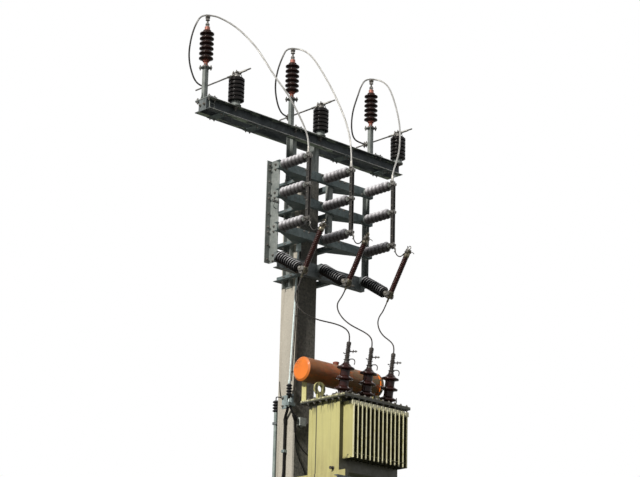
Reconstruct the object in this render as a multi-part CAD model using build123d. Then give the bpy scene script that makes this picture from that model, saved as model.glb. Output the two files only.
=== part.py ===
from build123d import *
from math import cos, radians, sin, tan
import os

# A three-phase distribution transformer on one rectangular concrete pole, with
# its crossarm, line insulators, jumpers, vertical air-break switch, fuses and
# leads. Millimetres. The origin is the centre of the pole's foot at ground
# level, +Z up, +X along the crossarm, and -Y is the switch and transformer side.

# Pole
POLE_X = 305.0
POLE_Y = 290.0
POLE_TOP = 8950.0
POLE_CHAMFER = 14.0

# Steel channels that carry the crossarm above the pole
HEAD_DEPTH = 120.0
HEAD_FLANGE = 55.0
HEAD_WEB_T = 7.0
HEAD_FLANGE_T = 9.0
HEAD_BOTTOM = 7600.0

# Crossarm of two channels
ARM_LENGTH = 3100.0
ARM_TOP = 9525.0
ARM_DEPTH = 140.0
ARM_FLANGE = 70.0
ARM_WEB_T = 7.0
ARM_FLANGE_T = 10.0
ARM_END_PLATE_T = 8.0

# Shed shapes: where the underside, rim and slope end, as shares of the pitch
BARREL_SHEDS = (0.14, 0.66, 0.84)
THIN_SHEDS = (0.26, 0.42, 0.78)
RIB_SHEDS = (0.3, 0.6, 0.95)
DISH_SHEDS = (0.47, 0.55, 0.66)
DISH_ROOT = 0.36

# Line insulators on the front channel
LINE_XS = (-1140.0, 190.0, 1500.0)
LINE_FOOT_D = 126.0
LINE_FOOT_H = 58.0
LINE_SHED_D = 186.0
LINE_CORE_D = 152.0
LINE_SHED_PITCH = 48.0
LINE_SHEDS = 6
LINE_CAP_D = 92.0
LINE_CAP_H = 48.0
CONDUCTOR_D = 18.0
CONDUCTOR_RISE = 7.0
CONDUCTOR_FRONT = -330.0
CONDUCTOR_BACK = 640.0
FIT = 0.3

# Tap clamps on the conductors
TAP_Y = 480.0
TAP_LENGTH = 64.0
TAP_SIDE = 38.0

# Posts and insulators that hold the jumpers up
POST_XS = (-1500.0, -170.0, 1150.0)
POST_Y = 35.0
POST_SIDE = 50.0
POST_WALL = 5.0
POST_RISE = 410.0
POST_PLATE_T = 10.0
POST_PLATE_X = 110.0
JUMPER_INS_FOOT_D = 76.0
JUMPER_INS_FOOT_H = 85.0
JUMPER_INS_SHED_D = 165.0
JUMPER_INS_CORE_D = 94.0
JUMPER_INS_PITCH = 61.0
JUMPER_INS_SHEDS = 6
JUMPER_CAP_D = 62.0
JUMPER_CAP_H = 46.0
JUMPER_D = 20.0
SADDLE_STEM_L = 107.0
SADDLE_X = 34.0
SADDLE_Y = 44.0
SADDLE_H = 30.0
SADDLE_STEM_D = 22.0
SADDLE_GAP = 1.0

# Switch frame in front of the pole
PHASE_PITCH = 670.0
FRAME_Y = -400.0
LEVELS = (8870.0, 8530.0, 8130.0)
BEAM_H = 100.0
BEAM_FLANGE = 50.0
BEAM_T = 6.0
BEAM_LEFT = -722.0
BEAM_RIGHT = 782.0
RAIL_TOP = 8950.0
RAIL_BOTTOM = 7735.0
LEFT_RAIL_DEPTH = 140.0
LEFT_RAIL_WIDTH = 75.0
RIGHT_RAIL_LEG = 60.0
RAIL_T = 7.0
LEFT_RAIL_X = -660.0
RIGHT_RAIL_X = 775.0
CENTRE_RAIL_X = 112.0
CENTRE_RAIL_LEG = 60.0
BRACKET_LEG = 60.0
BRACKET_T = 6.0
BRACKET_BACK = 153.0
GUSSET_REACH = 420.0
GUSSET_BACK = -175.0

# Switch insulators, contacts and blades
SWITCH_INS_LENGTH = 390.0
SWITCH_BASE_D = 92.0
SWITCH_BASE_L = 16.0
SWITCH_SHED_D = 108.0
SWITCH_CORE_D = 66.0
SWITCH_PITCH = 42.0
SWITCH_SHEDS = 8
SWITCH_CAP_D = 62.0
TONGUE_T = 20.0
TONGUE_H = 60.0
TONGUE_L = 80.0
BLADE_T = 6.0
BLADE_W = 42.0
BLADE_SETBACK = 8.0
BLADE_OVER_TOP = 20.0
BLADE_UNDER = 42.0
LUG_SIDE = 40.0
LUG_T = 12.0

# Fuse beam, tilted insulators and fuses
FUSE_BEAM_BOTTOM = 7675.0
FUSE_BEAM_H = 160.0
FUSE_BEAM_FRONT = -350.0
FUSE_BEAM_FLANGE = 65.0
FUSE_BEAM_T = 8.0
FUSE_TILT = 31.5
FUSE_SEAT_Y = -380.0
FUSE_SEAT_Z = 7795.0
FUSE_INS_LENGTH = 475.0
FUSE_INS_SHED_D = 112.0
FUSE_INS_CORE_D = 74.0
FUSE_INS_PITCH = 48.0
FUSE_INS_SHEDS = 8
FUSE_INS_BASE_D = 96.0
FUSE_INS_BASE_L = 22.0
FUSE_INS_CAP_D = 58.0
FUSE_WEDGE_X = 84.0
FUSE_BLOCK = 56.0
FUSE_TUBE_L = 480.0
FUSE_CORE_D = 46.0
FUSE_RIB_D = 64.0
FUSE_RIBS = 16
FUSE_HEAD_L = 62.0
FUSE_HEAD_X = 48.0
FUSE_HEAD_DEPTH = 44.0
LINK_X = 24.0
LINK_T = 16.0

# Transformer
TANK_X = 840.0
TANK_BACK = -680.0
TANK_FRONT = -1185.0
TANK_BOTTOM = 5312.0
TANK_RIM_BOTTOM = 6093.0
RIM_T = 16.0
COVER_X = 1000.0
COVER_BACK = -620.0
COVER_FRONT = -1320.0
COVER_T = 16.0
SIDE_PANEL_T = 20.0
SIDE_PANEL_BACK = -758.0
SIDE_PANEL_TOP = 6058.0
FINS = 14
FIN_PITCH = 62.5
FIN_BANK_X = 25.5
FIN_T = 12.0
FIN_DEPTH = 155.0
FIN_BOTTOM = 5440.0
FIN_TOP = 6058.0
FIN_TAB_X = 44.0
FIN_TAB_H = 52.0
FIN_TAB_T = 8.0
CONSERVATOR_Y = -704.0
CONSERVATOR_Z = 6464.0
CONSERVATOR_R = 135.0
CONSERVATOR_LENGTH = 1160.0
CONSERVATOR_CAP_T = 14.0
FLANGE_LIP = 14.0
FLANGE_T = 22.0
FLANGE_SETBACK = 60.0
SUPPORT_X = 484.0
SUPPORT_T = 10.0
SUPPORT_Y = 70.0
SUPPORT_MID_Y = -662.0
SUPPORT_RETURN = 60.0
BUSHING_XS = (-345.0, 0.0, 340.0)
BUSHING_Y = -1112.0
BUSHING_TILT = 9.0
BUSHING_FLANGE_D = 150.0
BUSHING_FLANGE_H = 34.0
BUSHING_SHED_D = 192.0
BUSHING_CORE_D = 104.0
BUSHING_NECK_D = 60.0
BUSHING_PITCH = 114.0
BUSHING_SHEDS = 3
TERMINAL_D = 34.0
TERMINAL_L = 232.0
LV_XS = (-255.0, -85.0, 85.0, 255.0)
LV_Y = -930.0
LV_D = 78.0
LV_H = 92.0
LUG_X = 438.0
LUG_Y = -855.0
LUG_OUTER_R = 75.0
LUG_HOLE_R = 38.0
LUG_PLATE_T = 30.0
LUG_LIFT = 115.0
SKID_X = 422.0
SKID_W = 50.0
SKID_H = 72.0
SKID_BACK = -486.0
SKID_FRONT = -1290.0

# Support of the transformer on the pole
CROSS_H = 100.0
CROSS_FLANGE = 50.0
CROSS_T = 7.0
CROSS_X = 1120.0
CROSS_YS = (-640.0, -1290.0)
CANTILEVER_H = 140.0
CANTILEVER_FLANGE = 60.0
CANTILEVER_T = 8.0
CANTILEVER_FRONT = -1380.0
CANTILEVER_BACK = 190.0
STRUT_LEG = 65.0
STRUT_T = 8.0
STRUT_TOP_Y = -1150.0
STRUT_FOOT_Z = 4020.0
STRAP_H = 60.0
STRAP_T = 8.0

# Leads from fuses to bushings
LEAD_D = 15.0

# Operating rod down the pole, cable pipe and junction box
ROD_D = 24.0
ROD_TOP_X = -172.0
ROD_TOP_Y = -173.0
ROD_TOP = 8200.0
ROD_SLEEVE_D = 46.0
ROD_SLEEVE_TOP = 8190.0
ROD_SLEEVE_L = 190.0
ROD_LOW_X = -235.0
ROD_LOW_Y = -142.0
ROD_INS_TOP = 6440.0
ROD_INS_L = 132.0
ROD_INS_D = 66.0
ROD_INS_SHEDS = 4
ROD_END = 6185.0
GUIDE_PLATE_T = 6.0
GUIDE_PLATE_BACK = 60.0
GUIDE_PLATE_LOW = 6195.0
GUIDE_PLATE_TOP = 6345.0
GUIDE_ARM_H = 36.0
CABLE_D = 32.0
CABLE_STANDOFF = 4.0
CABLE_Y = -20.0
CABLE_TOP = 6060.0
CABLE_BEND_TOP = 5420.0
CABLE_BEND_LOW = 5230.0
CABLE_LOW_STANDOFF = 68.0
CABLE_CLIP_ZS = (5700.0, 4800.0, 3600.0, 2500.0, 1500.0)
CABLE_CLIP_H = 30.0
CABLE_CLIP_WALL = 8.0
PIPE_D = 42.0
PIPE_X = -127.0
PIPE_Y = 190.0
PIPE_TOP = 6180.0
PIPE_HEAD_D = 78.0
PIPE_HEAD_PITCH = 34.0
PIPE_HEAD_SHEDS = 4
PIPE_CLAMP_ZS = (6050.0, 5400.0, 3600.0, 2200.0, 900.0)
PIPE_CLAMP_H = 30.0
BOX_X = -60.0
BOX_Z = 6030.0
BOX_W = 92.0
BOX_H = 88.0
BOX_D = 48.0

# Routes of the jumpers, from the tap clamp over the saddle to the switch, with heights above
# the crossarm's top
JUMPER_A = [
    (-1159.3, 480, 401), (-1232, 480, 401), (-1318, 458, 437), (-1400, 415, 500),
    (-1480, 360, 570), (-1545, 295, 650), (-1590, 225, 737), (-1612, 165, 835),
    (-1608, 112, 940), (-1560, 78, 1053), (-1440, -8, 1057), (-1350, -75, 1015),
    (-1275, -150, 950), (-1212, -228, 865), (-1158, -303, 765), (-1106, -372, 665),
    (-1070, -440, 545), (-1034, -503, 425), (-994, -565, 303), (-940, -625, 187),
    (-880, -678, 75), (-822, -722, -48), (-766, -760, -173), (-714, -792, -297),
    (-680, -818, -413), (-670, -830, -521),
]
JUMPER_B = [
    (170.7, 480, 401), (95, 480, 401), (10, 458, 453), (-70, 412, 520), (-140, 360, 590),
    (-200, 300, 665), (-245, 232, 747), (-270, 165, 840), (-262, 115, 943),
    (-230, 78, 1053), (-110, -8, 1057), (-72, -105, 1000), (-58, -200, 900),
    (-52, -285, 785), (-47, -362, 670), (-42, -438, 550), (-38, -512, 430),
    (-36, -582, 305), (-28, -648, 175), (-14, -705, 40), (-2, -752, -95), (3, -792, -235),
    (2, -818, -375), (0, -830, -507),
]
JUMPER_C = [
    (1480.7, 480, 401), (1400, 480, 401), (1305, 470, 407), (1222, 432, 447),
    (1150, 375, 513), (1090, 310, 585), (1042, 240, 665), (1018, 172, 753),
    (1020, 125, 850), (1040, 110, 940), (1090, 78, 1053), (1210, -8, 1057),
    (1232, -112, 995), (1215, -212, 890), (1180, -300, 765), (1140, -385, 630),
    (1096, -468, 488), (1050, -545, 345), (1000, -615, 210), (940, -680, 65),
    (876, -740, -90), (808, -786, -240), (735, -816, -375), (682, -829, -490),
    (670, -830, -545),
]

# Routes of the leads, from the foot of each fuse to its bushing
LEAD_A = [
    (-675, -742, 7395), (-712, -752, 7325), (-768, -785, 7248), (-806, -828, 7158),
    (-800, -880, 7068), (-748, -938, 7000), (-672, -990, 6958), (-585, -1040, 6938),
    (-490, -1092, 6925), (-410, -1150, 6898), (-362, -1200, 6850),
]
LEAD_B = [
    (-14, -738, 7398), (-62, -752, 7345), (-125, -785, 7288), (-180, -832, 7222),
    (-208, -888, 7140), (-196, -950, 7056), (-150, -1012, 6990), (-85, -1075, 6942),
    (-30, -1135, 6900), (-4, -1190, 6848),
]
LEAD_C = [
    (660, -738, 7398), (622, -745, 7340), (560, -775, 7290), (492, -815, 7230),
    (430, -862, 7160), (382, -920, 7085), (350, -985, 7010), (335, -1055, 6945),
    (335, -1125, 6895), (339, -1185, 6845),
]


def block(x0, x1, y0, y1, z0, z1):
    """A box between two corners."""
    centre = ((x0 + x1) / 2, (y0 + y1) / 2, (z0 + z1) / 2)
    return Pos(*centre) * Box(abs(x1 - x0), abs(y1 - y0), abs(z1 - z0))


def extruded(points, plane, length):
    """A closed outline on a plane, extruded along the plane's normal."""
    face = make_face(Polyline(*[plane.from_local_coords(p) for p in points], close=True))
    return extrude(face, amount=length, dir=plane.z_dir)


def turned(profile, origin, axis):
    """A half profile of (radius, distance) points, turned about an axis from origin."""
    side = Vector(1, 0, 0)
    plane = Plane(origin=origin, x_dir=side, z_dir=side.cross(Vector(*axis)))
    points = [plane.from_local_coords((r, s)) for r, s in profile]
    face = make_face(Polyline(*points, close=True))
    return revolve(face, axis=Axis(origin, axis))


def shed_stack(core_d, shed_d, pitch, count, start, shape, root=0.0):
    """Closed half profile of a solid row of sheds. Shape gives, as shares of the pitch,
    where the underside meets the rim, where the rim ends and where the slope meets the core,
    and root where the underside leaves the core."""
    under, rim, slope = shape
    points = [(0, start), (core_d / 2, start)]
    for i in range(count):
        foot = start + i * pitch
        if root > 0:
            points.append((core_d / 2, foot + root * pitch))
        points.append((shed_d / 2, foot + under * pitch))
        points.append((shed_d / 2, foot + rim * pitch))
        points.append((core_d / 2, foot + slope * pitch))
        if slope < 1:
            points.append((core_d / 2, foot + pitch))
    return points + [(0, start + count * pitch)]


def disc(d, length, start=0.0):
    """Closed half profile of a plain round piece."""
    return [(0, start), (d / 2, start), (d / 2, start + length), (0, start + length)]


def channel_outline(height, flange, web_t, flange_t):
    """A channel with its web's back on the first axis and its flanges pointing to +."""
    return [
        (0, 0), (flange, 0), (flange, flange_t), (web_t, flange_t),
        (web_t, height - flange_t), (flange, height - flange_t), (flange, height), (0, height),
    ]


def angle_outline(leg_u, leg_v, t):
    """An angle with its corner at the origin."""
    return [(0, 0), (leg_u, 0), (leg_u, t), (t, t), (t, leg_v), (0, leg_v)]


def corner_radii(points):
    """The largest arc that each corner of a cord's route leaves room for."""
    radii = []
    for a, b, c in zip(points, points[1:], points[2:]):
        before = Vector(*b) - Vector(*a)
        after = Vector(*c) - Vector(*b)
        turn = before.get_angle(after)
        run = min(before.length, after.length)
        radii.append(0.45 * run / tan(radians(turn) / 2))
    return radii


def cord(name, points, diameter):
    """A round cord along straight runs joined by arcs."""
    radii = corner_radii(points)
    path = FilletPolyline(*points, radius=radii)
    start = Plane(origin=path @ 0, z_dir=path % 0)
    solid = sweep(start * Circle(diameter / 2), path=path)
    runs = [(Vector(*b) - Vector(*a)).length for a, b in zip(points, points[1:])]
    share = solid.volume / (3.14159265 * diameter**2 / 4 * path.length)
    print(f"{name}: length {path.length:.0f}, runs {min(runs):.0f} to {max(runs):.0f},"
          f" least radius {min(radii):.0f}, volume share {share:.4f}")
    return solid


def save(name, *solids):
    """Write one node."""
    for s in solids:
        s.label = name
    shape = solids[0] if len(solids) == 1 else Compound(children=list(solids))
    export_step(shape, f"parts/{name}.step")


YZ = Plane(origin=(0, 0, 0), x_dir=(0, 1, 0), z_dir=(1, 0, 0))
XZ = Plane(origin=(0, 0, 0), x_dir=(1, 0, 0), z_dir=(0, -1, 0))

phase_xs = (-PHASE_PITCH, 0.0, PHASE_PITCH)
pole_half_x = POLE_X / 2
pole_half_y = POLE_Y / 2
head_half = HEAD_DEPTH / 2
head_outer = pole_half_x + HEAD_FLANGE
arm_web_y = head_half
arm_bottom = ARM_TOP - ARM_DEPTH
arm_half = ARM_LENGTH / 2


def build_pole():
    body = Pos(0, 0, POLE_TOP / 2) * Box(POLE_X, POLE_Y, POLE_TOP)
    body = chamfer(body.edges().filter_by(Axis.Z), POLE_CHAMFER)
    save("pole", body)


def build_head_channels():
    outline = channel_outline(HEAD_DEPTH, HEAD_FLANGE, HEAD_WEB_T, HEAD_FLANGE_T)
    length = ARM_TOP - HEAD_BOTTOM
    right = Plane(origin=(pole_half_x, -head_half, HEAD_BOTTOM), x_dir=(1, 0, 0), z_dir=(0, 0, 1))
    channel = extruded(outline, right, length)
    save("head_channels", channel, channel.mirror(Plane.YZ))


def build_crossarm():
    outline = channel_outline(ARM_DEPTH, ARM_FLANGE, ARM_WEB_T, ARM_FLANGE_T)
    back_plane = Plane(origin=(-arm_half, arm_web_y, arm_bottom), x_dir=(0, 1, 0), z_dir=(1, 0, 0))
    back = extruded(outline, back_plane, ARM_LENGTH)
    save("crossarm_channels", back, back.mirror(Plane.XZ))
    left = block(-arm_half, -arm_half + ARM_END_PLATE_T, -arm_web_y, arm_web_y, arm_bottom, ARM_TOP)
    save("crossarm_end_plates", left, left.mirror(Plane.YZ))


line_y = -(arm_web_y + ARM_FLANGE / 2)
line_sheds_z = ARM_TOP + LINE_FOOT_H
line_cap_z = line_sheds_z + LINE_SHEDS * LINE_SHED_PITCH
conductor_z = line_cap_z + LINE_CAP_H + CONDUCTOR_RISE


def build_line_insulators():
    feet, bodies, caps, stubs, taps = [], [], [], [], []
    foot = [
        (0, 0), (LINE_FOOT_D / 2, 0), (LINE_FOOT_D / 2, 12), (LINE_FOOT_D / 2 - 12, 20),
        (LINE_FOOT_D / 2 - 12, LINE_FOOT_H), (0, LINE_FOOT_H),
    ]
    stack = shed_stack(LINE_CORE_D, LINE_SHED_D, LINE_SHED_PITCH, LINE_SHEDS, LINE_FOOT_H, BARREL_SHEDS)
    cap_start = LINE_FOOT_H + LINE_SHEDS * LINE_SHED_PITCH
    cap_end = cap_start + LINE_CAP_H + 2 * CONDUCTOR_RISE
    cap = [
        (0, cap_start), (LINE_CAP_D / 2, cap_start), (LINE_CAP_D / 2, cap_start + 18),
        (LINE_CAP_D / 2 - 12, cap_start + 26), (LINE_CAP_D / 2 - 8, cap_end), (0, cap_end),
    ]
    groove_r = CONDUCTOR_D / 2 + FIT
    length = CONDUCTOR_BACK - CONDUCTOR_FRONT
    for x in LINE_XS:
        seat = (x, line_y, ARM_TOP)
        feet.append(turned(foot, seat, (0, 0, 1)))
        bodies.append(turned(stack, seat, (0, 0, 1)))
        middle = (CONDUCTOR_FRONT + CONDUCTOR_BACK) / 2
        groove = Pos(x, line_y, conductor_z) * Rot(90, 0, 0) * Cylinder(groove_r, 2 * LINE_CAP_D)
        slot = block(x - groove_r, x + groove_r, line_y - LINE_CAP_D, line_y + LINE_CAP_D,
                     conductor_z, conductor_z + LINE_CAP_H)
        caps.append(turned(cap, seat, (0, 0, 1)) - groove - slot)
        stubs.append(Pos(x, middle, conductor_z) * Rot(90, 0, 0) * Cylinder(CONDUCTOR_D / 2, length))
        tap = Pos(x, TAP_Y, conductor_z) * Box(TAP_SIDE, TAP_LENGTH, TAP_SIDE)
        bore = Pos(x, TAP_Y, conductor_z) * Rot(90, 0, 0) * Cylinder(groove_r, 2 * TAP_LENGTH)
        taps.append(tap - bore)
    save("line_insulator_feet", *feet)
    save("line_insulators", *bodies)
    save("line_insulator_caps", *caps)
    save("line_conductor_stubs", *stubs)
    save("tap_clamps", *taps)


def build_jumper_insulators():
    posts, feet, bodies, saddles = [], [], [], []
    post_top = ARM_TOP + POST_RISE
    plate_z = ARM_TOP + POST_PLATE_T
    foot_r = JUMPER_INS_FOOT_D / 2
    foot = [
        (0, 0), (foot_r, 0), (foot_r, 16), (foot_r - 14, 24), (foot_r - 14, 62),
        (foot_r, 68), (foot_r, JUMPER_INS_FOOT_H), (0, JUMPER_INS_FOOT_H),
    ]
    stack = shed_stack(JUMPER_INS_CORE_D, JUMPER_INS_SHED_D, JUMPER_INS_PITCH,
                       JUMPER_INS_SHEDS, JUMPER_INS_FOOT_H, THIN_SHEDS)
    cap_z = post_top + JUMPER_INS_FOOT_H + JUMPER_INS_SHEDS * JUMPER_INS_PITCH
    saddle_z = cap_z + JUMPER_CAP_H + SADDLE_STEM_L
    saddle_top = saddle_z + SADDLE_H
    for x in POST_XS:
        plate = block(x - POST_PLATE_X / 2, x + POST_PLATE_X / 2, -arm_web_y - ARM_FLANGE,
                      arm_web_y + ARM_FLANGE, ARM_TOP, plate_z)
        half = POST_SIDE / 2
        inner = half - POST_WALL
        tube = block(x - half, x + half, POST_Y - half, POST_Y + half, plate_z, post_top)
        tube -= block(x - inner, x + inner, POST_Y - inner, POST_Y + inner,
                      plate_z, post_top - POST_WALL)
        posts.append(plate + tube)
        seat = (x, POST_Y, post_top)
        feet.append(turned(foot, seat, (0, 0, 1)))
        bodies.append(turned(stack, seat, (0, 0, 1)))
        cap = turned(disc(JUMPER_CAP_D, JUMPER_CAP_H), (x, POST_Y, cap_z), (0, 0, 1))
        stem = turned(disc(SADDLE_STEM_D, saddle_z - cap_z), (x, POST_Y, cap_z), (0, 0, 1))
        top = block(x - SADDLE_X / 2, x + SADDLE_X / 2, POST_Y - SADDLE_Y / 2,
                    POST_Y + SADDLE_Y / 2, saddle_z, saddle_top)
        saddles.append(cap + stem + top)
    save("jumper_posts", *posts)
    save("jumper_insulator_feet", *feet)
    save("jumper_insulators", *bodies)
    save("jumper_saddles", *saddles)


def build_switch_frame():
    beam_back = FRAME_Y + BEAM_FLANGE
    outline = channel_outline(BEAM_H, BEAM_FLANGE, BEAM_T, BEAM_T)
    beams = []
    for z in LEVELS:
        plane = Plane(origin=(BEAM_LEFT, FRAME_Y, z - BEAM_H / 2), x_dir=(0, 1, 0), z_dir=(1, 0, 0))
        beams.append(extruded(outline, plane, BEAM_RIGHT - BEAM_LEFT))
    save("switch_beams", *beams)

    height = RAIL_TOP - RAIL_BOTTOM
    left = angle_outline(LEFT_RAIL_WIDTH, LEFT_RAIL_DEPTH, RAIL_T)
    left_plane = Plane(origin=(LEFT_RAIL_X, beam_back + LEFT_RAIL_DEPTH, RAIL_BOTTOM),
                       x_dir=(-1, 0, 0), z_dir=(0, 0, 1))
    right = angle_outline(RIGHT_RAIL_LEG, RIGHT_RAIL_LEG, RAIL_T)
    right_plane = Plane(origin=(RIGHT_RAIL_X, beam_back + RIGHT_RAIL_LEG, RAIL_BOTTOM),
                        x_dir=(-1, 0, 0), z_dir=(0, 0, 1))
    centre = angle_outline(CENTRE_RAIL_LEG, CENTRE_RAIL_LEG, RAIL_T)
    low = LEVELS[2] - BEAM_H / 2
    centre_plane = Plane(origin=(CENTRE_RAIL_X, beam_back, low), x_dir=(1, 0, 0), z_dir=(0, 0, 1))
    rails = [extruded(left, left_plane, height), extruded(right, right_plane, height),
             extruded(centre, centre_plane, RAIL_TOP - low)]
    save("switch_rails", *rails)


def support_straps():
    """Flat straps behind the pole at the cantilevers and at the struts' feet."""
    straps = []
    strap_back = pole_half_y + STRAP_T
    middle = cantilever_bottom + CANTILEVER_H / 2
    for low in (middle - STRAP_H / 2, STRUT_FOOT_Z + 10):
        straps.append(block(-pole_half_x, pole_half_x, pole_half_y, strap_back, low, low + STRAP_H))
    return straps


def build_brackets():
    arms, straps, gussets = [], [], []
    outline = angle_outline(BRACKET_LEG, BRACKET_LEG, BRACKET_T)
    seats = [(z - BEAM_H / 2 + BEAM_T, FRAME_Y + BEAM_T) for z in LEVELS]
    seats.append((FUSE_BEAM_BOTTOM + FUSE_BEAM_T, FUSE_BEAM_FRONT + FUSE_BEAM_T))
    for z, front in seats:
        plane = Plane(origin=(head_outer, BRACKET_BACK, z), x_dir=(1, 0, 0), z_dir=(0, -1, 0))
        arm = extruded(outline, plane, BRACKET_BACK - front)
        arms += [arm, arm.mirror(Plane.YZ)]
        straps.append(block(-head_outer, head_outer, pole_half_y, BRACKET_BACK, z, z + BRACKET_LEG))
    for z in LEVELS:
        low = z - BEAM_H / 2
        flat = Plane(origin=(0, 0, low), x_dir=(1, 0, 0), z_dir=(0, 0, 1))
        edge = FRAME_Y + BEAM_FLANGE
        points = [(head_outer, edge), (head_outer, GUSSET_BACK), (head_outer + BRACKET_LEG, GUSSET_BACK),
                  (head_outer + GUSSET_REACH, edge)]
        plate = extruded(points, flat, BEAM_T)
        gussets += [plate, plate.mirror(Plane.YZ)]
    save("switch_bracket_arms", *arms)
    save("pole_straps", *straps, *support_straps())
    save("switch_gussets", *gussets)


def build_switch_poles():
    bases, caps = [], []
    rows = {"top": [], "middle": [], "bottom": []}
    sheds_end = SWITCH_BASE_L + SWITCH_SHEDS * SWITCH_PITCH
    tip = FRAME_Y - SWITCH_INS_LENGTH
    stack = shed_stack(SWITCH_CORE_D, SWITCH_SHED_D, SWITCH_PITCH, SWITCH_SHEDS, SWITCH_BASE_L,
                       THIN_SHEDS)
    cap = disc(SWITCH_CAP_D, SWITCH_INS_LENGTH - sheds_end, sheds_end)
    for x in phase_xs:
        for row, z in zip(rows, LEVELS):
            seat = (x, FRAME_Y, z)
            bases.append(turned(disc(SWITCH_BASE_D, SWITCH_BASE_L), seat, (0, -1, 0)))
            rows[row].append(turned(stack, seat, (0, -1, 0)))
            contact = turned(cap, seat, (0, -1, 0))
            contact += block(x - TONGUE_T / 2, x + TONGUE_T / 2, tip - TONGUE_L, tip,
                             z - TONGUE_H / 2, z + TONGUE_H / 2)
            if row == "top":
                lug_z = z + TONGUE_H / 2
                lug_y = tip - LUG_SIDE
                contact += block(x - LUG_SIDE / 2, x + LUG_SIDE / 2, lug_y - LUG_SIDE / 2,
                                 lug_y + LUG_SIDE / 2, lug_z, lug_z + LUG_T)
            caps.append(contact)
    save("switch_insulator_bases", *bases)
    save("switch_insulators", *[s for solids in rows.values() for s in solids])
    save("switch_contacts", *caps)

    blades = []
    blade_front = tip - TONGUE_L + BLADE_SETBACK
    for x in phase_xs:
        for side in (-1, 1):
            inner = x + side * TONGUE_T / 2
            blades.append(block(inner, inner + side * BLADE_T, blade_front, blade_front + BLADE_W,
                                LEVELS[2] - BLADE_UNDER, LEVELS[0] + BLADE_OVER_TOP))
    save("switch_blades", *blades)


fuse_down = Vector(0, -cos(radians(FUSE_TILT)), -sin(radians(FUSE_TILT)))
fuse_up = Vector(0, -sin(radians(FUSE_TILT)), cos(radians(FUSE_TILT)))
fuse_tip_y = FUSE_SEAT_Y + fuse_down.Y * (FUSE_INS_LENGTH + FUSE_BLOCK / 2)
fuse_tip_z = FUSE_SEAT_Z + fuse_down.Z * (FUSE_INS_LENGTH + FUSE_BLOCK / 2)


def fuse_point(x, up, out):
    """A point by its distance up the fuse's axis and out along its insulator."""
    y = fuse_tip_y + up * fuse_up.Y + out * fuse_down.Y
    z = fuse_tip_z + up * fuse_up.Z + out * fuse_down.Z
    return Vector(x, y, z)


def tilted_block(x, width, up0, up1, out0, out1):
    """A box square to the fuse, given along its axis and along its insulator."""
    corners = [fuse_point(x - width / 2, u, o) for u, o in
               ((up0, out0), (up1, out0), (up1, out1), (up0, out1))]
    face = make_face(Polyline(*corners, close=True))
    return extrude(face, amount=width, dir=(1, 0, 0))


def build_fuses():
    outline = channel_outline(FUSE_BEAM_H, FUSE_BEAM_FLANGE, FUSE_BEAM_T, FUSE_BEAM_T)
    left = LEFT_RAIL_X
    right = RIGHT_RAIL_X - RIGHT_RAIL_LEG
    plane = Plane(origin=(left, FUSE_BEAM_FRONT, FUSE_BEAM_BOTTOM), x_dir=(0, 1, 0), z_dir=(1, 0, 0))
    save("fuse_beam", extruded(outline, plane, right - left))

    wedges, insulators, metals, feet, tubes, heads, links = [], [], [], [], [], [], []
    half = FUSE_INS_BASE_D / 2 + 4
    seat_top = (FUSE_SEAT_Y + half * fuse_up.Y, FUSE_SEAT_Z + half * fuse_up.Z)
    seat_low = (FUSE_SEAT_Y - half * fuse_up.Y, FUSE_SEAT_Z - half * fuse_up.Z)
    beam_top = FUSE_BEAM_BOTTOM + FUSE_BEAM_H
    wedge = [(FUSE_BEAM_FRONT, seat_low[1] - 30), (FUSE_BEAM_FRONT, beam_top - 2), seat_top, seat_low]
    sheds_end = FUSE_INS_BASE_L + FUSE_INS_SHEDS * FUSE_INS_PITCH
    stack = shed_stack(FUSE_INS_CORE_D, FUSE_INS_SHED_D, FUSE_INS_PITCH, FUSE_INS_SHEDS,
                       FUSE_INS_BASE_L, THIN_SHEDS)
    cap = disc(FUSE_INS_CAP_D, FUSE_INS_LENGTH - sheds_end, sheds_end)
    tube_start = FUSE_BLOCK / 2
    rib_pitch = FUSE_TUBE_L / FUSE_RIBS
    tube = shed_stack(FUSE_CORE_D, FUSE_RIB_D, rib_pitch, FUSE_RIBS, tube_start, RIB_SHEDS)
    head_low = tube_start + FUSE_TUBE_L
    bottom_tip = FRAME_Y - SWITCH_INS_LENGTH - TONGUE_L
    for x in phase_xs:
        plane = Plane(origin=(x - FUSE_WEDGE_X / 2, 0, 0), x_dir=(0, 1, 0), z_dir=(1, 0, 0))
        wedges.append(extruded(wedge, plane, FUSE_WEDGE_X))
        seat = (x, FUSE_SEAT_Y, FUSE_SEAT_Z)
        axis = (0, fuse_down.Y, fuse_down.Z)
        metals.append(turned(disc(FUSE_INS_BASE_D, FUSE_INS_BASE_L), seat, axis))
        insulators.append(turned(stack, seat, axis))
        block_half = FUSE_BLOCK / 2
        foot = turned(cap, seat, axis)
        foot += tilted_block(x, FUSE_BLOCK, -block_half, block_half, -block_half, block_half)
        feet.append(foot)
        tip = (x, fuse_tip_y, fuse_tip_z)
        tubes.append(turned(tube, tip, (0, fuse_up.Y, fuse_up.Z)))
        depth = FUSE_HEAD_DEPTH / 2
        heads.append(tilted_block(x, FUSE_HEAD_X, head_low, head_low + FUSE_HEAD_L, -depth, depth))
        low = fuse_point(x, head_low + 16, -depth)
        high = fuse_point(x, head_low + 16 + LINK_T, -depth)
        link = [(bottom_tip, LEVELS[2] + LINK_T / 2), (bottom_tip, LEVELS[2] - LINK_T / 2),
                (low.Y, low.Z), (high.Y, high.Z)]
        plane = Plane(origin=(x - LINK_X / 2, 0, 0), x_dir=(0, 1, 0), z_dir=(1, 0, 0))
        links.append(extruded(link, plane, LINK_X))
    save("fuse_insulator_wedges", *wedges)
    save("fuse_insulator_bases", *metals)
    save("fuse_insulators", *insulators)
    save("fuse_tubes", *tubes)
    save("fuse_contacts", *feet, *heads)
    save("fuse_links", *links)


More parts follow.
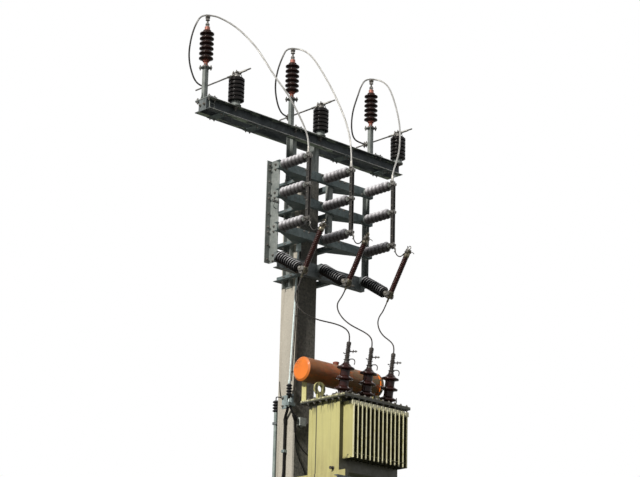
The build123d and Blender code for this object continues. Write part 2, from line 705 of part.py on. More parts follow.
cover_bottom = TANK_RIM_BOTTOM + RIM_T
cover_top = cover_bottom + COVER_T


def build_transformer():
    half = TANK_X / 2
    tank = block(-half, half, TANK_FRONT, TANK_BACK, TANK_BOTTOM, TANK_RIM_BOTTOM)
    tank += block(-COVER_X / 2, COVER_X / 2, COVER_FRONT, COVER_BACK, TANK_RIM_BOTTOM, cover_bottom)
    for side in (-1, 1):
        tank += block(side * half, side * (half + SIDE_PANEL_T), TANK_FRONT, SIDE_PANEL_BACK,
                      TANK_BOTTOM, SIDE_PANEL_TOP)
    save("transformer_tank", tank)
    cover = block(-COVER_X / 2, COVER_X / 2, COVER_FRONT, COVER_BACK, cover_bottom, cover_top)
    save("transformer_cover", cover)

    fins = []
    first = FIN_BANK_X - (FINS - 1) * FIN_PITCH / 2
    fin_front = TANK_FRONT - FIN_DEPTH
    for i in range(FINS):
        x = first + i * FIN_PITCH
        fin = block(x - FIN_T / 2, x + FIN_T / 2, fin_front, TANK_FRONT, FIN_BOTTOM, FIN_TOP)
        fin += block(x - FIN_TAB_X / 2, x + FIN_TAB_X / 2, fin_front, fin_front + FIN_TAB_T,
                     FIN_TOP - FIN_TAB_H, FIN_TOP)
        fins.append(fin)
    save("cooling_fins", *fins)

    skids = []
    for side in (-1, 1):
        skids.append(block(side * SKID_X - SKID_W / 2, side * SKID_X + SKID_W / 2, SKID_FRONT, SKID_BACK,
                           TANK_BOTTOM - SKID_H, TANK_BOTTOM))
    save("transformer_skids", *skids)


def build_conservator():
    r = CONSERVATOR_R
    length = CONSERVATOR_LENGTH
    cap = CONSERVATOR_CAP_T
    profile = [(0, 0), (r - 22, 0), (r, cap), (r, length - cap), (r - 22, length), (0, length)]
    plane = Plane(origin=(-length / 2, CONSERVATOR_Y, CONSERVATOR_Z), x_dir=(0, 0, 1),
                  z_dir=Vector(0, 0, 1).cross(Vector(1, 0, 0)))
    face = make_face(Polyline(*[plane.from_local_coords(p) for p in profile], close=True))
    drum = revolve(face, axis=Axis((0, CONSERVATOR_Y, CONSERVATOR_Z), (1, 0, 0)))
    flange = Pos(length / 2 - FLANGE_SETBACK, CONSERVATOR_Y, CONSERVATOR_Z) * Rot(0, 90, 0) * (
        Cylinder(r + FLANGE_LIP, FLANGE_T) - Cylinder(r - cap, 2 * FLANGE_T))
    drum += flange
    save("conservator", drum)
    supports = []
    room = Pos(0, CONSERVATOR_Y, CONSERVATOR_Z) * Rot(0, 90, 0) * Cylinder(r + FIT, 2 * length)
    for side in (-1, 1):
        back = SUPPORT_MID_Y + SUPPORT_Y / 2
        front = SUPPORT_MID_Y - SUPPORT_Y / 2
        outer = side * (SUPPORT_X + SUPPORT_T / 2)
        inner = side * (SUPPORT_X - SUPPORT_T / 2)
        plate = block(inner, outer, front, back, cover_top, CONSERVATOR_Z)
        plate += block(outer, outer - side * SUPPORT_RETURN, back - SUPPORT_T, back, cover_top, CONSERVATOR_Z)
        supports.append(plate - room)
    save("conservator_supports", *[cradle(s) for s in supports])


def cradle(support):
    """The part of a support below the drum."""
    return support.solids().sort_by(Axis.Z)[0]


bushing_axis = (0, -sin(radians(BUSHING_TILT)), cos(radians(BUSHING_TILT)))


def build_bushings():
    lean = tan(radians(BUSHING_TILT))
    flanges, bodies, terminals, small = [], [], [], []
    stack = shed_stack(BUSHING_CORE_D, BUSHING_SHED_D, BUSHING_PITCH, BUSHING_SHEDS,
                       BUSHING_FLANGE_H, DISH_SHEDS, DISH_ROOT)
    stack_end = BUSHING_FLANGE_H + BUSHING_SHEDS * BUSHING_PITCH
    stack[-2] = (BUSHING_NECK_D / 2, stack_end)
    stem = [
        (0, stack_end), (26, stack_end), (26, stack_end + 26), (TERMINAL_D / 2, stack_end + 34),
        (TERMINAL_D / 2, stack_end + TERMINAL_L), (0, stack_end + TERMINAL_L),
    ]
    trim = block(-COVER_X, COVER_X, 2 * COVER_FRONT, 0, cover_top - BUSHING_FLANGE_D, cover_top)
    for x in BUSHING_XS:
        seat = (x, BUSHING_Y, cover_top)
        drop = BUSHING_FLANGE_D / 2 * lean + 1
        flange = turned(disc(BUSHING_FLANGE_D, BUSHING_FLANGE_H + drop, -drop), seat, bushing_axis)
        flanges.append(flange - trim)
        bodies.append(turned(stack, seat, bushing_axis))
        terminals.append(turned(stem, seat, bushing_axis))
    for x in LV_XS:
        profile = [(0, 0), (LV_D / 2, 0), (LV_D / 2, 30), (LV_D / 3, 44), (LV_D / 3, LV_H - 30),
                   (12, LV_H - 24), (12, LV_H), (0, LV_H)]
        small.append(turned(profile, (x, LV_Y, cover_top), (0, 0, 1)))
    save("bushing_flanges", *flanges)
    save("bushings", *bodies)
    save("bushing_terminals", *terminals)
    save("low_voltage_bushings", *small)


def build_lifting_lugs():
    """Round-topped plates on the cover, each with a hole for a shackle."""
    lugs = []
    centre_z = cover_top + LUG_LIFT
    for side in (-1, 1):
        x = side * LUG_X
        plane = Plane(origin=(x, LUG_Y, centre_z), x_dir=(1, 0, 0), z_dir=(0, -1, 0))
        head = extrude(plane * Circle(LUG_OUTER_R), amount=LUG_PLATE_T / 2, both=True)
        neck = block(x - LUG_HOLE_R, x + LUG_HOLE_R, LUG_Y - LUG_PLATE_T / 2, LUG_Y + LUG_PLATE_T / 2,
                     cover_top, centre_z)
        head -= block(x - LUG_OUTER_R, x + LUG_OUTER_R, LUG_Y - LUG_PLATE_T, LUG_Y + LUG_PLATE_T,
                      cover_top - LUG_OUTER_R, cover_top)
        hole = extrude(plane * Circle(LUG_HOLE_R), amount=LUG_PLATE_T, both=True)
        lugs.append(head + neck - hole)
    save("lifting_lugs", *lugs)


cross_top = TANK_BOTTOM - SKID_H
cantilever_top = cross_top - CROSS_H
cantilever_bottom = cantilever_top - CANTILEVER_H
cantilever_outer = pole_half_x + CANTILEVER_FLANGE


def build_support():
    outline = channel_outline(CROSS_H, CROSS_FLANGE, CROSS_T, CROSS_T)
    crosses = []
    for y in CROSS_YS:
        plane = Plane(origin=(-CROSS_X / 2, y, cantilever_top), x_dir=(0, 1, 0), z_dir=(1, 0, 0))
        crosses.append(extruded(outline, plane, CROSS_X))
    save("support_cross_channels", *crosses)

    outline = channel_outline(CANTILEVER_H, CANTILEVER_FLANGE, CANTILEVER_T, CANTILEVER_T)
    plane = Plane(origin=(pole_half_x, CANTILEVER_BACK, cantilever_bottom), x_dir=(1, 0, 0),
                  z_dir=(0, -1, 0))
    right = extruded(outline, plane, CANTILEVER_BACK - CANTILEVER_FRONT)
    save("support_cantilevers", right, right.mirror(Plane.YZ))

    run = STRUT_TOP_Y + pole_half_y
    rise = cantilever_bottom - STRUT_FOOT_Z
    slope = rise / -run
    width = STRUT_LEG * (1 + slope**2) ** 0.5 / slope
    outline = [(-pole_half_y, STRUT_FOOT_Z), (STRUT_TOP_Y, cantilever_bottom),
               (STRUT_TOP_Y + width, cantilever_bottom), (-pole_half_y, STRUT_FOOT_Z + width * slope)]
    plane = Plane(origin=(pole_half_x, 0, 0), x_dir=(0, 1, 0), z_dir=(1, 0, 0))
    leg = extruded(outline, plane, STRUT_T)
    outstand = [(-pole_half_y, STRUT_FOOT_Z), (STRUT_TOP_Y, cantilever_bottom),
                (STRUT_TOP_Y + STRUT_T * width / STRUT_LEG, cantilever_bottom),
                (-pole_half_y, STRUT_FOOT_Z + STRUT_T * slope * width / STRUT_LEG)]
    leg += extruded(outstand, plane, CANTILEVER_FLANGE)
    foot = block(pole_half_x, pole_half_x + STRUT_T, -pole_half_y, pole_half_y,
                 STRUT_FOOT_Z, STRUT_FOOT_Z + width * slope)
    strut = leg + foot
    save("support_struts", strut, strut.mirror(Plane.YZ))


def build_pole_fittings():
    top = Vector(ROD_TOP_X, ROD_TOP_Y, ROD_TOP)
    join = Vector(ROD_LOW_X, ROD_LOW_Y, ROD_INS_TOP)
    axis = (join - top).normalized()
    length = (join - top).length + ROD_D
    upper = turned(disc(ROD_D, length), tuple(top), tuple(axis))
    sleeve_start = (ROD_TOP - ROD_SLEEVE_TOP) / -axis.Z
    upper += turned(disc(ROD_SLEEVE_D, ROD_SLEEVE_L, sleeve_start), tuple(top), tuple(axis))
    upper -= block(2 * ROD_LOW_X, 0, 4 * ROD_LOW_Y, 0, ROD_INS_TOP - 100, ROD_INS_TOP)
    low_z = ROD_INS_TOP - ROD_INS_L
    insulator = turned(shed_stack(ROD_D * 1.5, ROD_INS_D, ROD_INS_L / ROD_INS_SHEDS, ROD_INS_SHEDS, 0, RIB_SHEDS),
                       (ROD_LOW_X, ROD_LOW_Y, low_z), (0, 0, 1))
    lower = turned(disc(ROD_D, low_z - ROD_END), (ROD_LOW_X, ROD_LOW_Y, ROD_END), (0, 0, 1))
    save("operating_rod", upper, lower)
    save("operating_rod_insulator", insulator)
    cable_x = -pole_half_x - CABLE_STANDOFF - CABLE_D / 2
    cable_low_x = -pole_half_x - CABLE_LOW_STANDOFF - CABLE_D / 2
    route = [(cable_x, CABLE_Y, CABLE_TOP), (cable_x, CABLE_Y, CABLE_BEND_TOP),
             (cable_low_x, CABLE_Y, CABLE_BEND_LOW), (cable_low_x, CABLE_Y, 0)]
    save("pole_cable", cord("pole_cable", route, CABLE_D))

    plate_face = -pole_half_x - GUIDE_PLATE_T
    plate_front = -pole_half_y + POLE_CHAMFER
    guide = block(plate_face, -pole_half_x, plate_front, GUIDE_PLATE_BACK, GUIDE_PLATE_LOW, GUIDE_PLATE_TOP)
    guide += block(ROD_LOW_X - ROD_D, plate_face, ROD_LOW_Y - ROD_D, ROD_LOW_Y + 2 * ROD_D,
                   GUIDE_PLATE_LOW, GUIDE_PLATE_LOW + GUIDE_ARM_H)
    guide -= Pos(ROD_LOW_X, ROD_LOW_Y, GUIDE_PLATE_LOW) * Cylinder(ROD_D / 2 + FIT, 4 * GUIDE_ARM_H)
    guides = [guide]
    half = CABLE_D / 2 + CABLE_CLIP_WALL
    for z in CABLE_CLIP_ZS:
        middle_x = cable_x if z > CABLE_BEND_TOP else cable_low_x
        clip = block(middle_x - half, -pole_half_x, CABLE_Y - half, CABLE_Y + half,
                     z - CABLE_CLIP_H / 2, z + CABLE_CLIP_H / 2)
        guides.append(clip - Pos(middle_x, CABLE_Y, z) * Cylinder(CABLE_D / 2 + FIT, 2 * CABLE_CLIP_H))
    save("operating_rod_guides", *guides)
    lever_y = FRAME_Y + BEAM_FLANGE
    lever = block(ROD_TOP_X - 6, ROD_TOP_X + 6, lever_y, ROD_TOP_Y - ROD_SLEEVE_D / 2 - 3 * FIT,
                  LEVELS[2] + BEAM_H / 2 - 30, LEVELS[2] + BEAM_H / 2 + 12)
    save("operating_lever", lever)

    pipe = turned(disc(PIPE_D, PIPE_TOP), (PIPE_X, PIPE_Y, 0), (0, 0, 1))
    save("cable_pipe", pipe)
    head = turned(shed_stack(PIPE_D, PIPE_HEAD_D, PIPE_HEAD_PITCH, PIPE_HEAD_SHEDS, 0, RIB_SHEDS),
                  (PIPE_X, PIPE_Y, PIPE_TOP), (0, 0, 1))
    save("cable_pipe_head", head)
    clamps = []
    for z in PIPE_CLAMP_ZS:
        half = PIPE_D / 2 + 5
        clamp = block(PIPE_X - half, PIPE_X + half, pole_half_y, PIPE_Y + half,
                      z - PIPE_CLAMP_H / 2, z + PIPE_CLAMP_H / 2)
        clamps.append(clamp - Pos(PIPE_X, PIPE_Y, z) * Cylinder(PIPE_D / 2 + FIT, 2 * PIPE_CLAMP_H))
    save("cable_pipe_clamps", *clamps)
    box = block(BOX_X - BOX_W / 2, BOX_X + BOX_W / 2, -pole_half_y - BOX_D, -pole_half_y,
                BOX_Z - BOX_H / 2, BOX_Z + BOX_H / 2)
    save("junction_box", box)


def build_cords():
    lug_y = FRAME_Y - SWITCH_INS_LENGTH - LUG_SIDE
    jumpers = (("jumper_a", JUMPER_A), ("jumper_b", JUMPER_B), ("jumper_c", JUMPER_C))
    for (name, points), x in zip(jumpers, phase_xs):
        route = [(px, py, ARM_TOP + rise) for px, py, rise in points]
        route.append((x, lug_y, LEVELS[0] + TONGUE_H / 2 + LUG_T + FIT))
        save(name, cord(name, route, JUMPER_D))
    stack_end = BUSHING_FLANGE_H + BUSHING_SHEDS * BUSHING_PITCH + TERMINAL_L + FIT
    leads = (("lead_a", LEAD_A), ("lead_b", LEAD_B), ("lead_c", LEAD_C))
    for (name, points), fuse_x, x in zip(leads, phase_xs, BUSHING_XS):
        start = fuse_point(fuse_x, -FUSE_BLOCK / 2 - FIT, 0)
        second = fuse_point(fuse_x, -FUSE_BLOCK / 2 - FIT - 60, 0)
        end = Vector(x, BUSHING_Y, cover_top) + Vector(*bushing_axis) * stack_end
        before = end + Vector(*bushing_axis) * 60
        route = [tuple(start), tuple(second)] + points + [tuple(before), tuple(end)]
        save(name, cord(name, route, LEAD_D))


os.makedirs("parts", exist_ok=True)
build_pole()
build_head_channels()
build_crossarm()
build_line_insulators()
build_jumper_insulators()
build_switch_frame()
build_brackets()
build_switch_poles()
build_fuses()
build_transformer()
build_conservator()
build_bushings()
build_lifting_lugs()
build_support()
build_pole_fittings()
build_cords()
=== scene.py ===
import bpy
from math import cos, pi, radians, sin
from mathutils import Matrix, Vector


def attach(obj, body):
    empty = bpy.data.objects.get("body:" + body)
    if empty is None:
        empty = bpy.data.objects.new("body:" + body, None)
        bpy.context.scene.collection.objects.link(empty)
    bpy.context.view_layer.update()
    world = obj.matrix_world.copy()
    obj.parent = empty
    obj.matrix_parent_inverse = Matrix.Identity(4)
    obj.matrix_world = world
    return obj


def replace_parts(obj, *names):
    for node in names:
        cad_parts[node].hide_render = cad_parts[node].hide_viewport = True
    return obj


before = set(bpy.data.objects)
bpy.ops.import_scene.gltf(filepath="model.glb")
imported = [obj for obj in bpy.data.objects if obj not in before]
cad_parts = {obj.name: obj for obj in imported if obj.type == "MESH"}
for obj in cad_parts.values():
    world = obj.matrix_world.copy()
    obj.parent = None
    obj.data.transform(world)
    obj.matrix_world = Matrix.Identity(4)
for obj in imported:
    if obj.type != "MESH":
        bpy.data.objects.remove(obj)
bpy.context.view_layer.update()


# Camera at the roadside, looking up at the crossarm
def roadside_camera():
    around, lift, roll = radians(-43.0), radians(-17.5), radians(1.4)
    back = Vector((sin(around) * cos(lift), -cos(around) * cos(lift), sin(lift)))
    right = (-back).cross(Vector((0, 0, 1))).normalized()
    up = back.cross(right)
    side = right * cos(roll) + up * sin(roll)
    top = up * cos(roll) - right * sin(roll)
    camera = bpy.data.objects.new("roadside_camera", bpy.data.cameras.new("roadside_camera"))
    camera.data.sensor_width = 36.0
    camera.data.lens = 106.9
    camera.data.clip_end = 200.0
    turn = Matrix((side, top, back)).transposed().to_4x4()
    camera.matrix_world = Matrix.Translation((-14.195, -15.557, 1.6)) @ turn
    bpy.context.scene.collection.objects.link(camera)
    bpy.context.scene.camera = camera


roadside_camera()


# Material building
class Finish:
    """One procedural material, read in Object coordinates."""

    def __init__(self, name, roughness=0.6, metallic=0.0, coat=0.0, shine=0.5):
        self.material = bpy.data.materials.new(name)
        self.material.use_nodes = True
        self.tree = self.material.node_tree
        self.tree.nodes.clear()
        self.shader = self.add("ShaderNodeBsdfPrincipled")
        self.shader.inputs["Roughness"].default_value = roughness
        self.shader.inputs["Metallic"].default_value = metallic
        self.shader.inputs["Specular IOR Level"].default_value = shine
        self.shader.inputs["Coat Weight"].default_value = coat
        self.shader.inputs["Coat Roughness"].default_value = 0.12
        out = self.add("ShaderNodeOutputMaterial")
        self.link(self.shader.outputs["BSDF"], out.inputs["Surface"])
        self.place = self.add("ShaderNodeTexCoord").outputs["Object"]

    def add(self, kind):
        return self.tree.nodes.new(kind)

    def link(self, a, b):
        self.tree.links.new(a, b)

    def stretched(self, scale, place=None):
        node = self.add("ShaderNodeMapping")
        node.inputs["Scale"].default_value = scale
        self.link(place or self.place, node.inputs["Vector"])
        return node.outputs["Vector"]

    def noise(self, scale, detail, rough, stretch=(1, 1, 1)):
        node = self.add("ShaderNodeTexNoise")
        node.inputs["Scale"].default_value = scale
        node.inputs["Detail"].default_value = detail
        node.inputs["Roughness"].default_value = rough
        self.link(self.stretched(stretch), node.inputs["Vector"])
        return node.outputs["Fac"]

    def cells(self, scale):
        node = self.add("ShaderNodeTexVoronoi")
        node.inputs["Scale"].default_value = scale
        self.link(self.stretched((1, 1, 1)), node.inputs["Vector"])
        return node.outputs["Distance"]

    def ramp(self, value, low, high, from_value=0.0, to_value=1.0):
        node = self.add("ShaderNodeMapRange")
        node.inputs["From Min"].default_value = low
        node.inputs["From Max"].default_value = high
        node.inputs["To Min"].default_value = from_value
        node.inputs["To Max"].default_value = to_value
        self.link(value, node.inputs["Value"])
        return node.outputs["Result"]

    def times(self, a, b):
        node = self.add("ShaderNodeMath")
        node.operation = "MULTIPLY"
        self.link(a, node.inputs[0])
        if isinstance(b, float):
            node.inputs[1].default_value = b
        else:
            self.link(b, node.inputs[1])
        return node.outputs["Value"]

    def mix(self, share, a, b):
        node = self.add("ShaderNodeMix")
        node.data_type = "RGBA"
        node.clamp_factor = True
        self.link(share, node.inputs["Factor"])
        for value, socket in ((a, node.inputs[6]), (b, node.inputs[7])):
            if isinstance(value, tuple):
                socket.default_value = value + (1.0,)
            else:
                self.link(value, socket)
        return node.outputs[2]

    def part_of(self, vector, axis):
        split = self.add("ShaderNodeSeparateXYZ")
        self.link(vector, split.inputs[0])
        return split.outputs[axis]

    def over(self, base, mask, share, colour):
        """A colour laid over the base where the mask is, at the share given."""
        return self.mix(self.times(mask, share), base, colour)

    def facing(self, axis):
        """How far a surface faces along an axis, from -1 to 1."""
        return self.part_of(self.add("ShaderNodeNewGeometry").outputs["Normal"], axis)

    def across(self, axis):
        return self.part_of(self.place, axis)

    def height(self):
        return self.across("Z")

    def along(self, start, direction):
        """Distance from a start point along a unit direction."""
        offset = self.add("ShaderNodeVectorMath")
        offset.operation = "SUBTRACT"
        offset.inputs[1].default_value = start
        self.link(self.place, offset.inputs[0])
        dot = self.add("ShaderNodeVectorMath")
        dot.operation = "DOT_PRODUCT"
        dot.inputs[1].default_value = direction
        self.link(offset.outputs["Vector"], dot.inputs[0])
        return dot.outputs["Value"]

    def groove(self, start, direction, pitch, width=0.2):
        """1 in the groove at each pitch and 0 on the shed between two grooves."""
        wave = self.add("ShaderNodeMath")
        wave.operation = "PINGPONG"
        wave.inputs[1].default_value = pitch / 2
        self.link(self.along(start, direction), wave.inputs[0])
        return self.ramp(wave.outputs["Value"], pitch * width * 0.35, pitch * width, 1.0, 0.0)

    def colour(self, value):
        self.link(value, self.shader.inputs["Base Color"])

    def rough(self, value):
        self.link(value, self.shader.inputs["Roughness"])

    def bump(self, value, depth, strength=1.0):
        node = self.add("ShaderNodeBump")
        node.inputs["Distance"].default_value = depth
        node.inputs["Strength"].default_value = strength
        self.link(value, node.inputs["Height"])
        self.link(node.outputs["Normal"], self.shader.inputs["Normal"])


def cast_concrete():
    f = Finish("cast_concrete", roughness=0.92, shine=0.15)
    broad = f.noise(1.6, 5.0, 0.6, (1, 1, 0.35))
    base = f.mix(f.ramp(broad, 0.3, 0.7), (0.66, 0.615, 0.53), (0.49, 0.46, 0.40))
    streaks = f.ramp(f.noise(14.0, 3.0, 0.5, (1, 1, 0.06)), 0.52, 0.72)
    base = f.over(base, streaks, 0.5, (0.31, 0.28, 0.23))
    pits = f.ramp(f.noise(85.0, 6.0, 0.7), 0.56, 0.66)
    base = f.over(base, pits, 0.7, (0.12, 0.11, 0.1))
    pale = f.ramp(f.noise(42.0, 4.0, 0.6), 0.58, 0.68)
    base = f.over(base, pale, 0.5, (0.70, 0.67, 0.60))
    # Painted shade on the faces turned to -Y, mottled by noise.
    shaded_face_mask = f.ramp(f.facing("Y"), -0.95, -0.5, 1.0, 0.0)
    shade_mottle = f.ramp(f.noise(34.0, 6.0, 0.75), 0.38, 0.6, 0.55, 0.95)
    base = f.over(base, shaded_face_mask, shade_mottle, (0.135, 0.135, 0.128))
    f.colour(base)
    f.bump(f.noise(70.0, 8.0, 0.72), 0.012, 0.8)
    return f.material


def weathered_zinc(name, pale, dark, rust=0.25, spangle=38.0, metallic=0.22, roughness=0.6,
                   painted_light_patches=None):
    f = Finish(name, roughness=roughness, metallic=metallic, shine=0.3)
    base = f.mix(f.ramp(f.noise(6.0, 5.0, 0.6), 0.35, 0.65), pale, dark)
    mottle = f.ramp(f.cells(spangle), 0.2, 0.8)
    base = f.over(base, mottle, 0.35, tuple(c * 0.6 for c in dark))
    streaks = f.ramp(f.noise(26.0, 4.0, 0.6, (1, 1, 0.12)), 0.55, 0.75)
    base = f.over(base, streaks, 0.5, tuple(c * 0.45 for c in dark))
    brown = f.times(f.ramp(f.noise(9.0, 7.0, 0.7), 0.6, 0.72), rust)
    base = f.mix(brown, base, (0.16, 0.07, 0.03))
    # Painted light: pale patches on the faces turned down.
    if painted_light_patches:
        under = f.ramp(f.facing("Z"), -0.95, -0.6, 1.0, 0.0)
        base = f.over(base, under, f.ramp(f.noise(4.0, 3.0, 0.5, (1, 3, 1)), 0.5, 0.56), painted_light_patches)
    f.colour(base)
    f.rough(f.ramp(f.noise(30.0, 3.0, 0.5), 0.3, 0.7, roughness - 0.12, roughness + 0.15))
    f.bump(f.noise(120.0, 4.0, 0.6), 0.0015, 0.5)
    return f.material


def glazed(name, glaze, dust_and_glint, dust_and_glint_share=0.35, roughness=0.16, groove=None, soot_and_shade=0.85, rim=None):
    f = Finish(name, roughness=roughness, shine=0.2)
    cloud = f.ramp(f.noise(18.0, 4.0, 0.6), 0.35, 0.7)
    base = f.mix(cloud, glaze, tuple(c * 0.62 for c in glaze))
    # Lighter on faces turned up: dust, and on ribbed_glaze painted glints.
    up = f.ramp(f.facing("Z"), 0.15, 0.9)
    grime = f.times(f.times(up, f.ramp(f.noise(40.0, 5.0, 0.65), 0.3, 0.7)), dust_and_glint_share)
    base = f.mix(grime, base, dust_and_glint)
    # Darker grooves between the sheds: painted shade, with soot.
    if groove:
        base = f.over(base, f.groove(*groove), soot_and_shade, tuple(c * 0.15 for c in glaze))
    # Painted glints: a pale colour on the crests of the sheds, on faces turned up, broken by noise.
    if rim:
        start, direction, pitch = groove[:3]
        crest = f.groove(tuple(a + b * pitch / 2 for a, b in zip(start, direction)), direction, pitch, 0.26)
        painted_highlight_share = f.times(f.ramp(f.facing("Z"), -0.25, 0.3), f.ramp(f.noise(30.0, 4.0, 0.6), 0.38, 0.48))
        base = f.over(base, crest, painted_highlight_share, rim)
    f.colour(base)
    f.rough(f.ramp(f.noise(22.0, 4.0, 0.6), 0.3, 0.7, roughness - 0.04, roughness + 0.18))
    f.bump(f.noise(60.0, 2.0, 0.5), 0.0008, 0.35)
    return f.material


def chalky_glaze():
    """Pale grey glaze with painted shade and soot in the grooves between the sheds, and painted shade with
    dirt on the lower faces.
    """
    f = Finish("chalky_glaze", roughness=0.36, shine=0.3)
    base = f.mix(f.ramp(f.noise(14.0, 5.0, 0.6), 0.3, 0.7), (0.90, 0.89, 0.94), (0.64, 0.625, 0.67))
    # Painted shade, with dirt, on the lower faces.
    under = f.ramp(f.facing("Z"), -0.3, 0.38, 1.0, 0.0)
    base = f.over(base, under, 0.9, (0.04, 0.034, 0.034))
    # Painted shade, with soot, in the grooves between the sheds.
    base = f.over(base, f.groove((0, -0.416, 0), (0, -1, 0), 0.061, 0.30), 0.97, (0.03, 0.025, 0.025))
    soot_and_shade = f.ramp(f.noise(46.0, 6.0, 0.7), 0.52, 0.7)
    f.colour(f.over(base, soot_and_shade, 0.7, (0.13, 0.115, 0.125)))
    f.bump(f.noise(80.0, 3.0, 0.6), 0.001, 0.4)
    return f.material


def tank_paint(name="tank_paint", fins=False):
    f = Finish(name, roughness=0.48, coat=0.08)
    base = f.mix(f.ramp(f.noise(3.2, 4.0, 0.55), 0.3, 0.7), (0.61, 0.575, 0.245), (0.53, 0.495, 0.205))
    runs = f.ramp(f.noise(30.0, 3.0, 0.5, (1, 1, 0.05)), 0.48, 0.7)
    base = f.over(base, runs, 0.3, (0.36, 0.335, 0.16))
    low = f.ramp(f.height(), 5.34, 5.78, 1.0, 0.0)
    brown = f.times(low, f.ramp(f.noise(16.0, 5.0, 0.6, (1, 1, 0.2)), 0.3, 0.65))
    base = f.over(base, brown, 0.55, (0.30, 0.245, 0.115))
    # Dark drips near the top, with painted shadow below the cover.
    high = f.ramp(f.height(), 5.95, 6.07)
    drips_and_shadow = f.ramp(f.noise(34.0, 3.0, 0.5, (1, 1, 0.14)), 0.50, 0.57)
    base = f.over(base, f.times(high, drips_and_shadow), 0.9, (0.03, 0.03, 0.022))
    chips = f.ramp(f.noise(60.0, 8.0, 0.75), 0.64, 0.68)
    base = f.over(base, chips, 0.75, (0.10, 0.07, 0.04))
    # Painted shade on faces turned down.
    under = f.ramp(f.facing("Z"), -0.95, -0.4, 0.75, 0.0)
    base = f.mix(under, base, (0.05, 0.055, 0.035))
    soot_and_shade = (0.022, 0.023, 0.015)
    if fins:
        # Painted highlight on the fins' front edges, broken by noise.
        painted_highlight_share = f.ramp(f.noise(20.0, 5.0, 0.6), 0.3, 0.5)
        pale = f.times(f.ramp(f.across("Y"), -1.334, -1.330, 1.0, 0.0), painted_highlight_share)
        base = f.over(base, pale, 0.8, (0.84, 0.81, 0.58))
        # Painted shade in the gaps between the fins.
        painted_gap_shade = f.times(f.ramp(f.across("Y"), -1.332, -1.322), f.ramp(f.across("X"), -0.380, -0.377))
        base = f.over(base, painted_gap_shade, 0.9, soot_and_shade)
        # Painted light on the fin tabs under the cover.
        lit_tabs = f.times(f.ramp(f.height(), 6.025, 6.03), f.ramp(f.across("Y"), -1.30, -1.29, 1.0, 0.0))
        base = f.over(base, lit_tabs, 0.8, (0.86, 0.83, 0.60))
        # Painted shade along the bottom of the fins, with a ragged top edge.
        ragged = f.ramp(f.noise(26.0, 4.0, 0.6), 0.3, 0.7, 5.40, 5.50)
        shaded_bottom = f.add("ShaderNodeMath")
        shaded_bottom.operation = "LESS_THAN"
        f.link(f.height(), shaded_bottom.inputs[0])
        f.link(ragged, shaded_bottom.inputs[1])
        base = f.over(base, shaded_bottom.outputs["Value"], 0.75, soot_and_shade)
    else:
        # Painted shade on the tank's front face beside the fin bank.
        shaded_front = f.ramp(f.facing("Y"), -0.9, -0.7, 1.0, 0.0)
        shaded_front_strip = f.times(shaded_front, f.ramp(f.across("Y"), -1.184, -1.180, 1.0, 0.0))
        base = f.over(base, shaded_front_strip, 0.94, soot_and_shade)
        # A painted shadow line down the side panel near its back edge.
        behind = f.ramp(f.across("Y"), -0.829, -0.827)
        painted_shadow_line = f.times(behind, f.ramp(f.across("Y"), -0.812, -0.810, 1.0, 0.0))
        # Painted shade on the top back corner of the side panel, under the cover.
        corner = f.times(f.ramp(f.across("Y"), -0.812, -0.810), f.ramp(f.height(), 6.03, 6.045))
        base = f.over(base, painted_shadow_line, 0.85, soot_and_shade)
        base = f.over(base, corner, 0.85, soot_and_shade)
        # Painted shade on the band of the rim flange under the cover.
        rim = f.times(f.ramp(f.height(), 6.090, 6.092), f.ramp(f.height(), 6.108, 6.110, 1.0, 0.0))
        base = f.over(base, rim, 0.94, soot_and_shade)
    f.colour(base)
    f.rough(f.ramp(f.noise(20.0, 4.0, 0.6), 0.3, 0.7, 0.38, 0.62))
    f.bump(f.noise(45.0, 4.0, 0.55), 0.0016, 0.4)
    return f.material


def rim_paint():
    """The cover's darker, greasier paint, with a painted highlight on its side faces and painted shade on its
    front and lower faces.
    """
    f = Finish("rim_paint", roughness=0.55, coat=0.05)
    base = f.mix(f.ramp(f.noise(9.0, 5.0, 0.6), 0.35, 0.65), (0.33, 0.32, 0.165), (0.12, 0.118, 0.066))
    grime = f.ramp(f.noise(24.0, 6.0, 0.7), 0.5, 0.66)
    base = f.over(base, grime, 0.8, (0.05, 0.05, 0.035))
    # Painted highlight along the side faces, broken by noise.
    level = f.ramp(f.facing("Z"), 0.3, 0.6, 1.0, 0.0)
    edge = f.times(level, f.ramp(f.noise(24.0, 4.0, 0.6, (1, 1, 0.3)), 0.5, 0.54))
    base = f.over(base, edge, 0.9, (0.66, 0.63, 0.42))
    # Painted shade on the faces turned to -Y.
    shaded_front = f.ramp(f.facing("Y"), -0.9, -0.5, 1.0, 0.0)
    base = f.over(base, shaded_front, 0.85, (0.03, 0.03, 0.022))
    # Painted shade on faces turned down.
    under = f.ramp(f.facing("Z"), -0.95, -0.3, 0.9, 0.0)
    f.colour(f.mix(under, base, (0.028, 0.03, 0.02)))
    f.bump(f.noise(70.0, 5.0, 0.6), 0.002, 0.5)
    return f.material


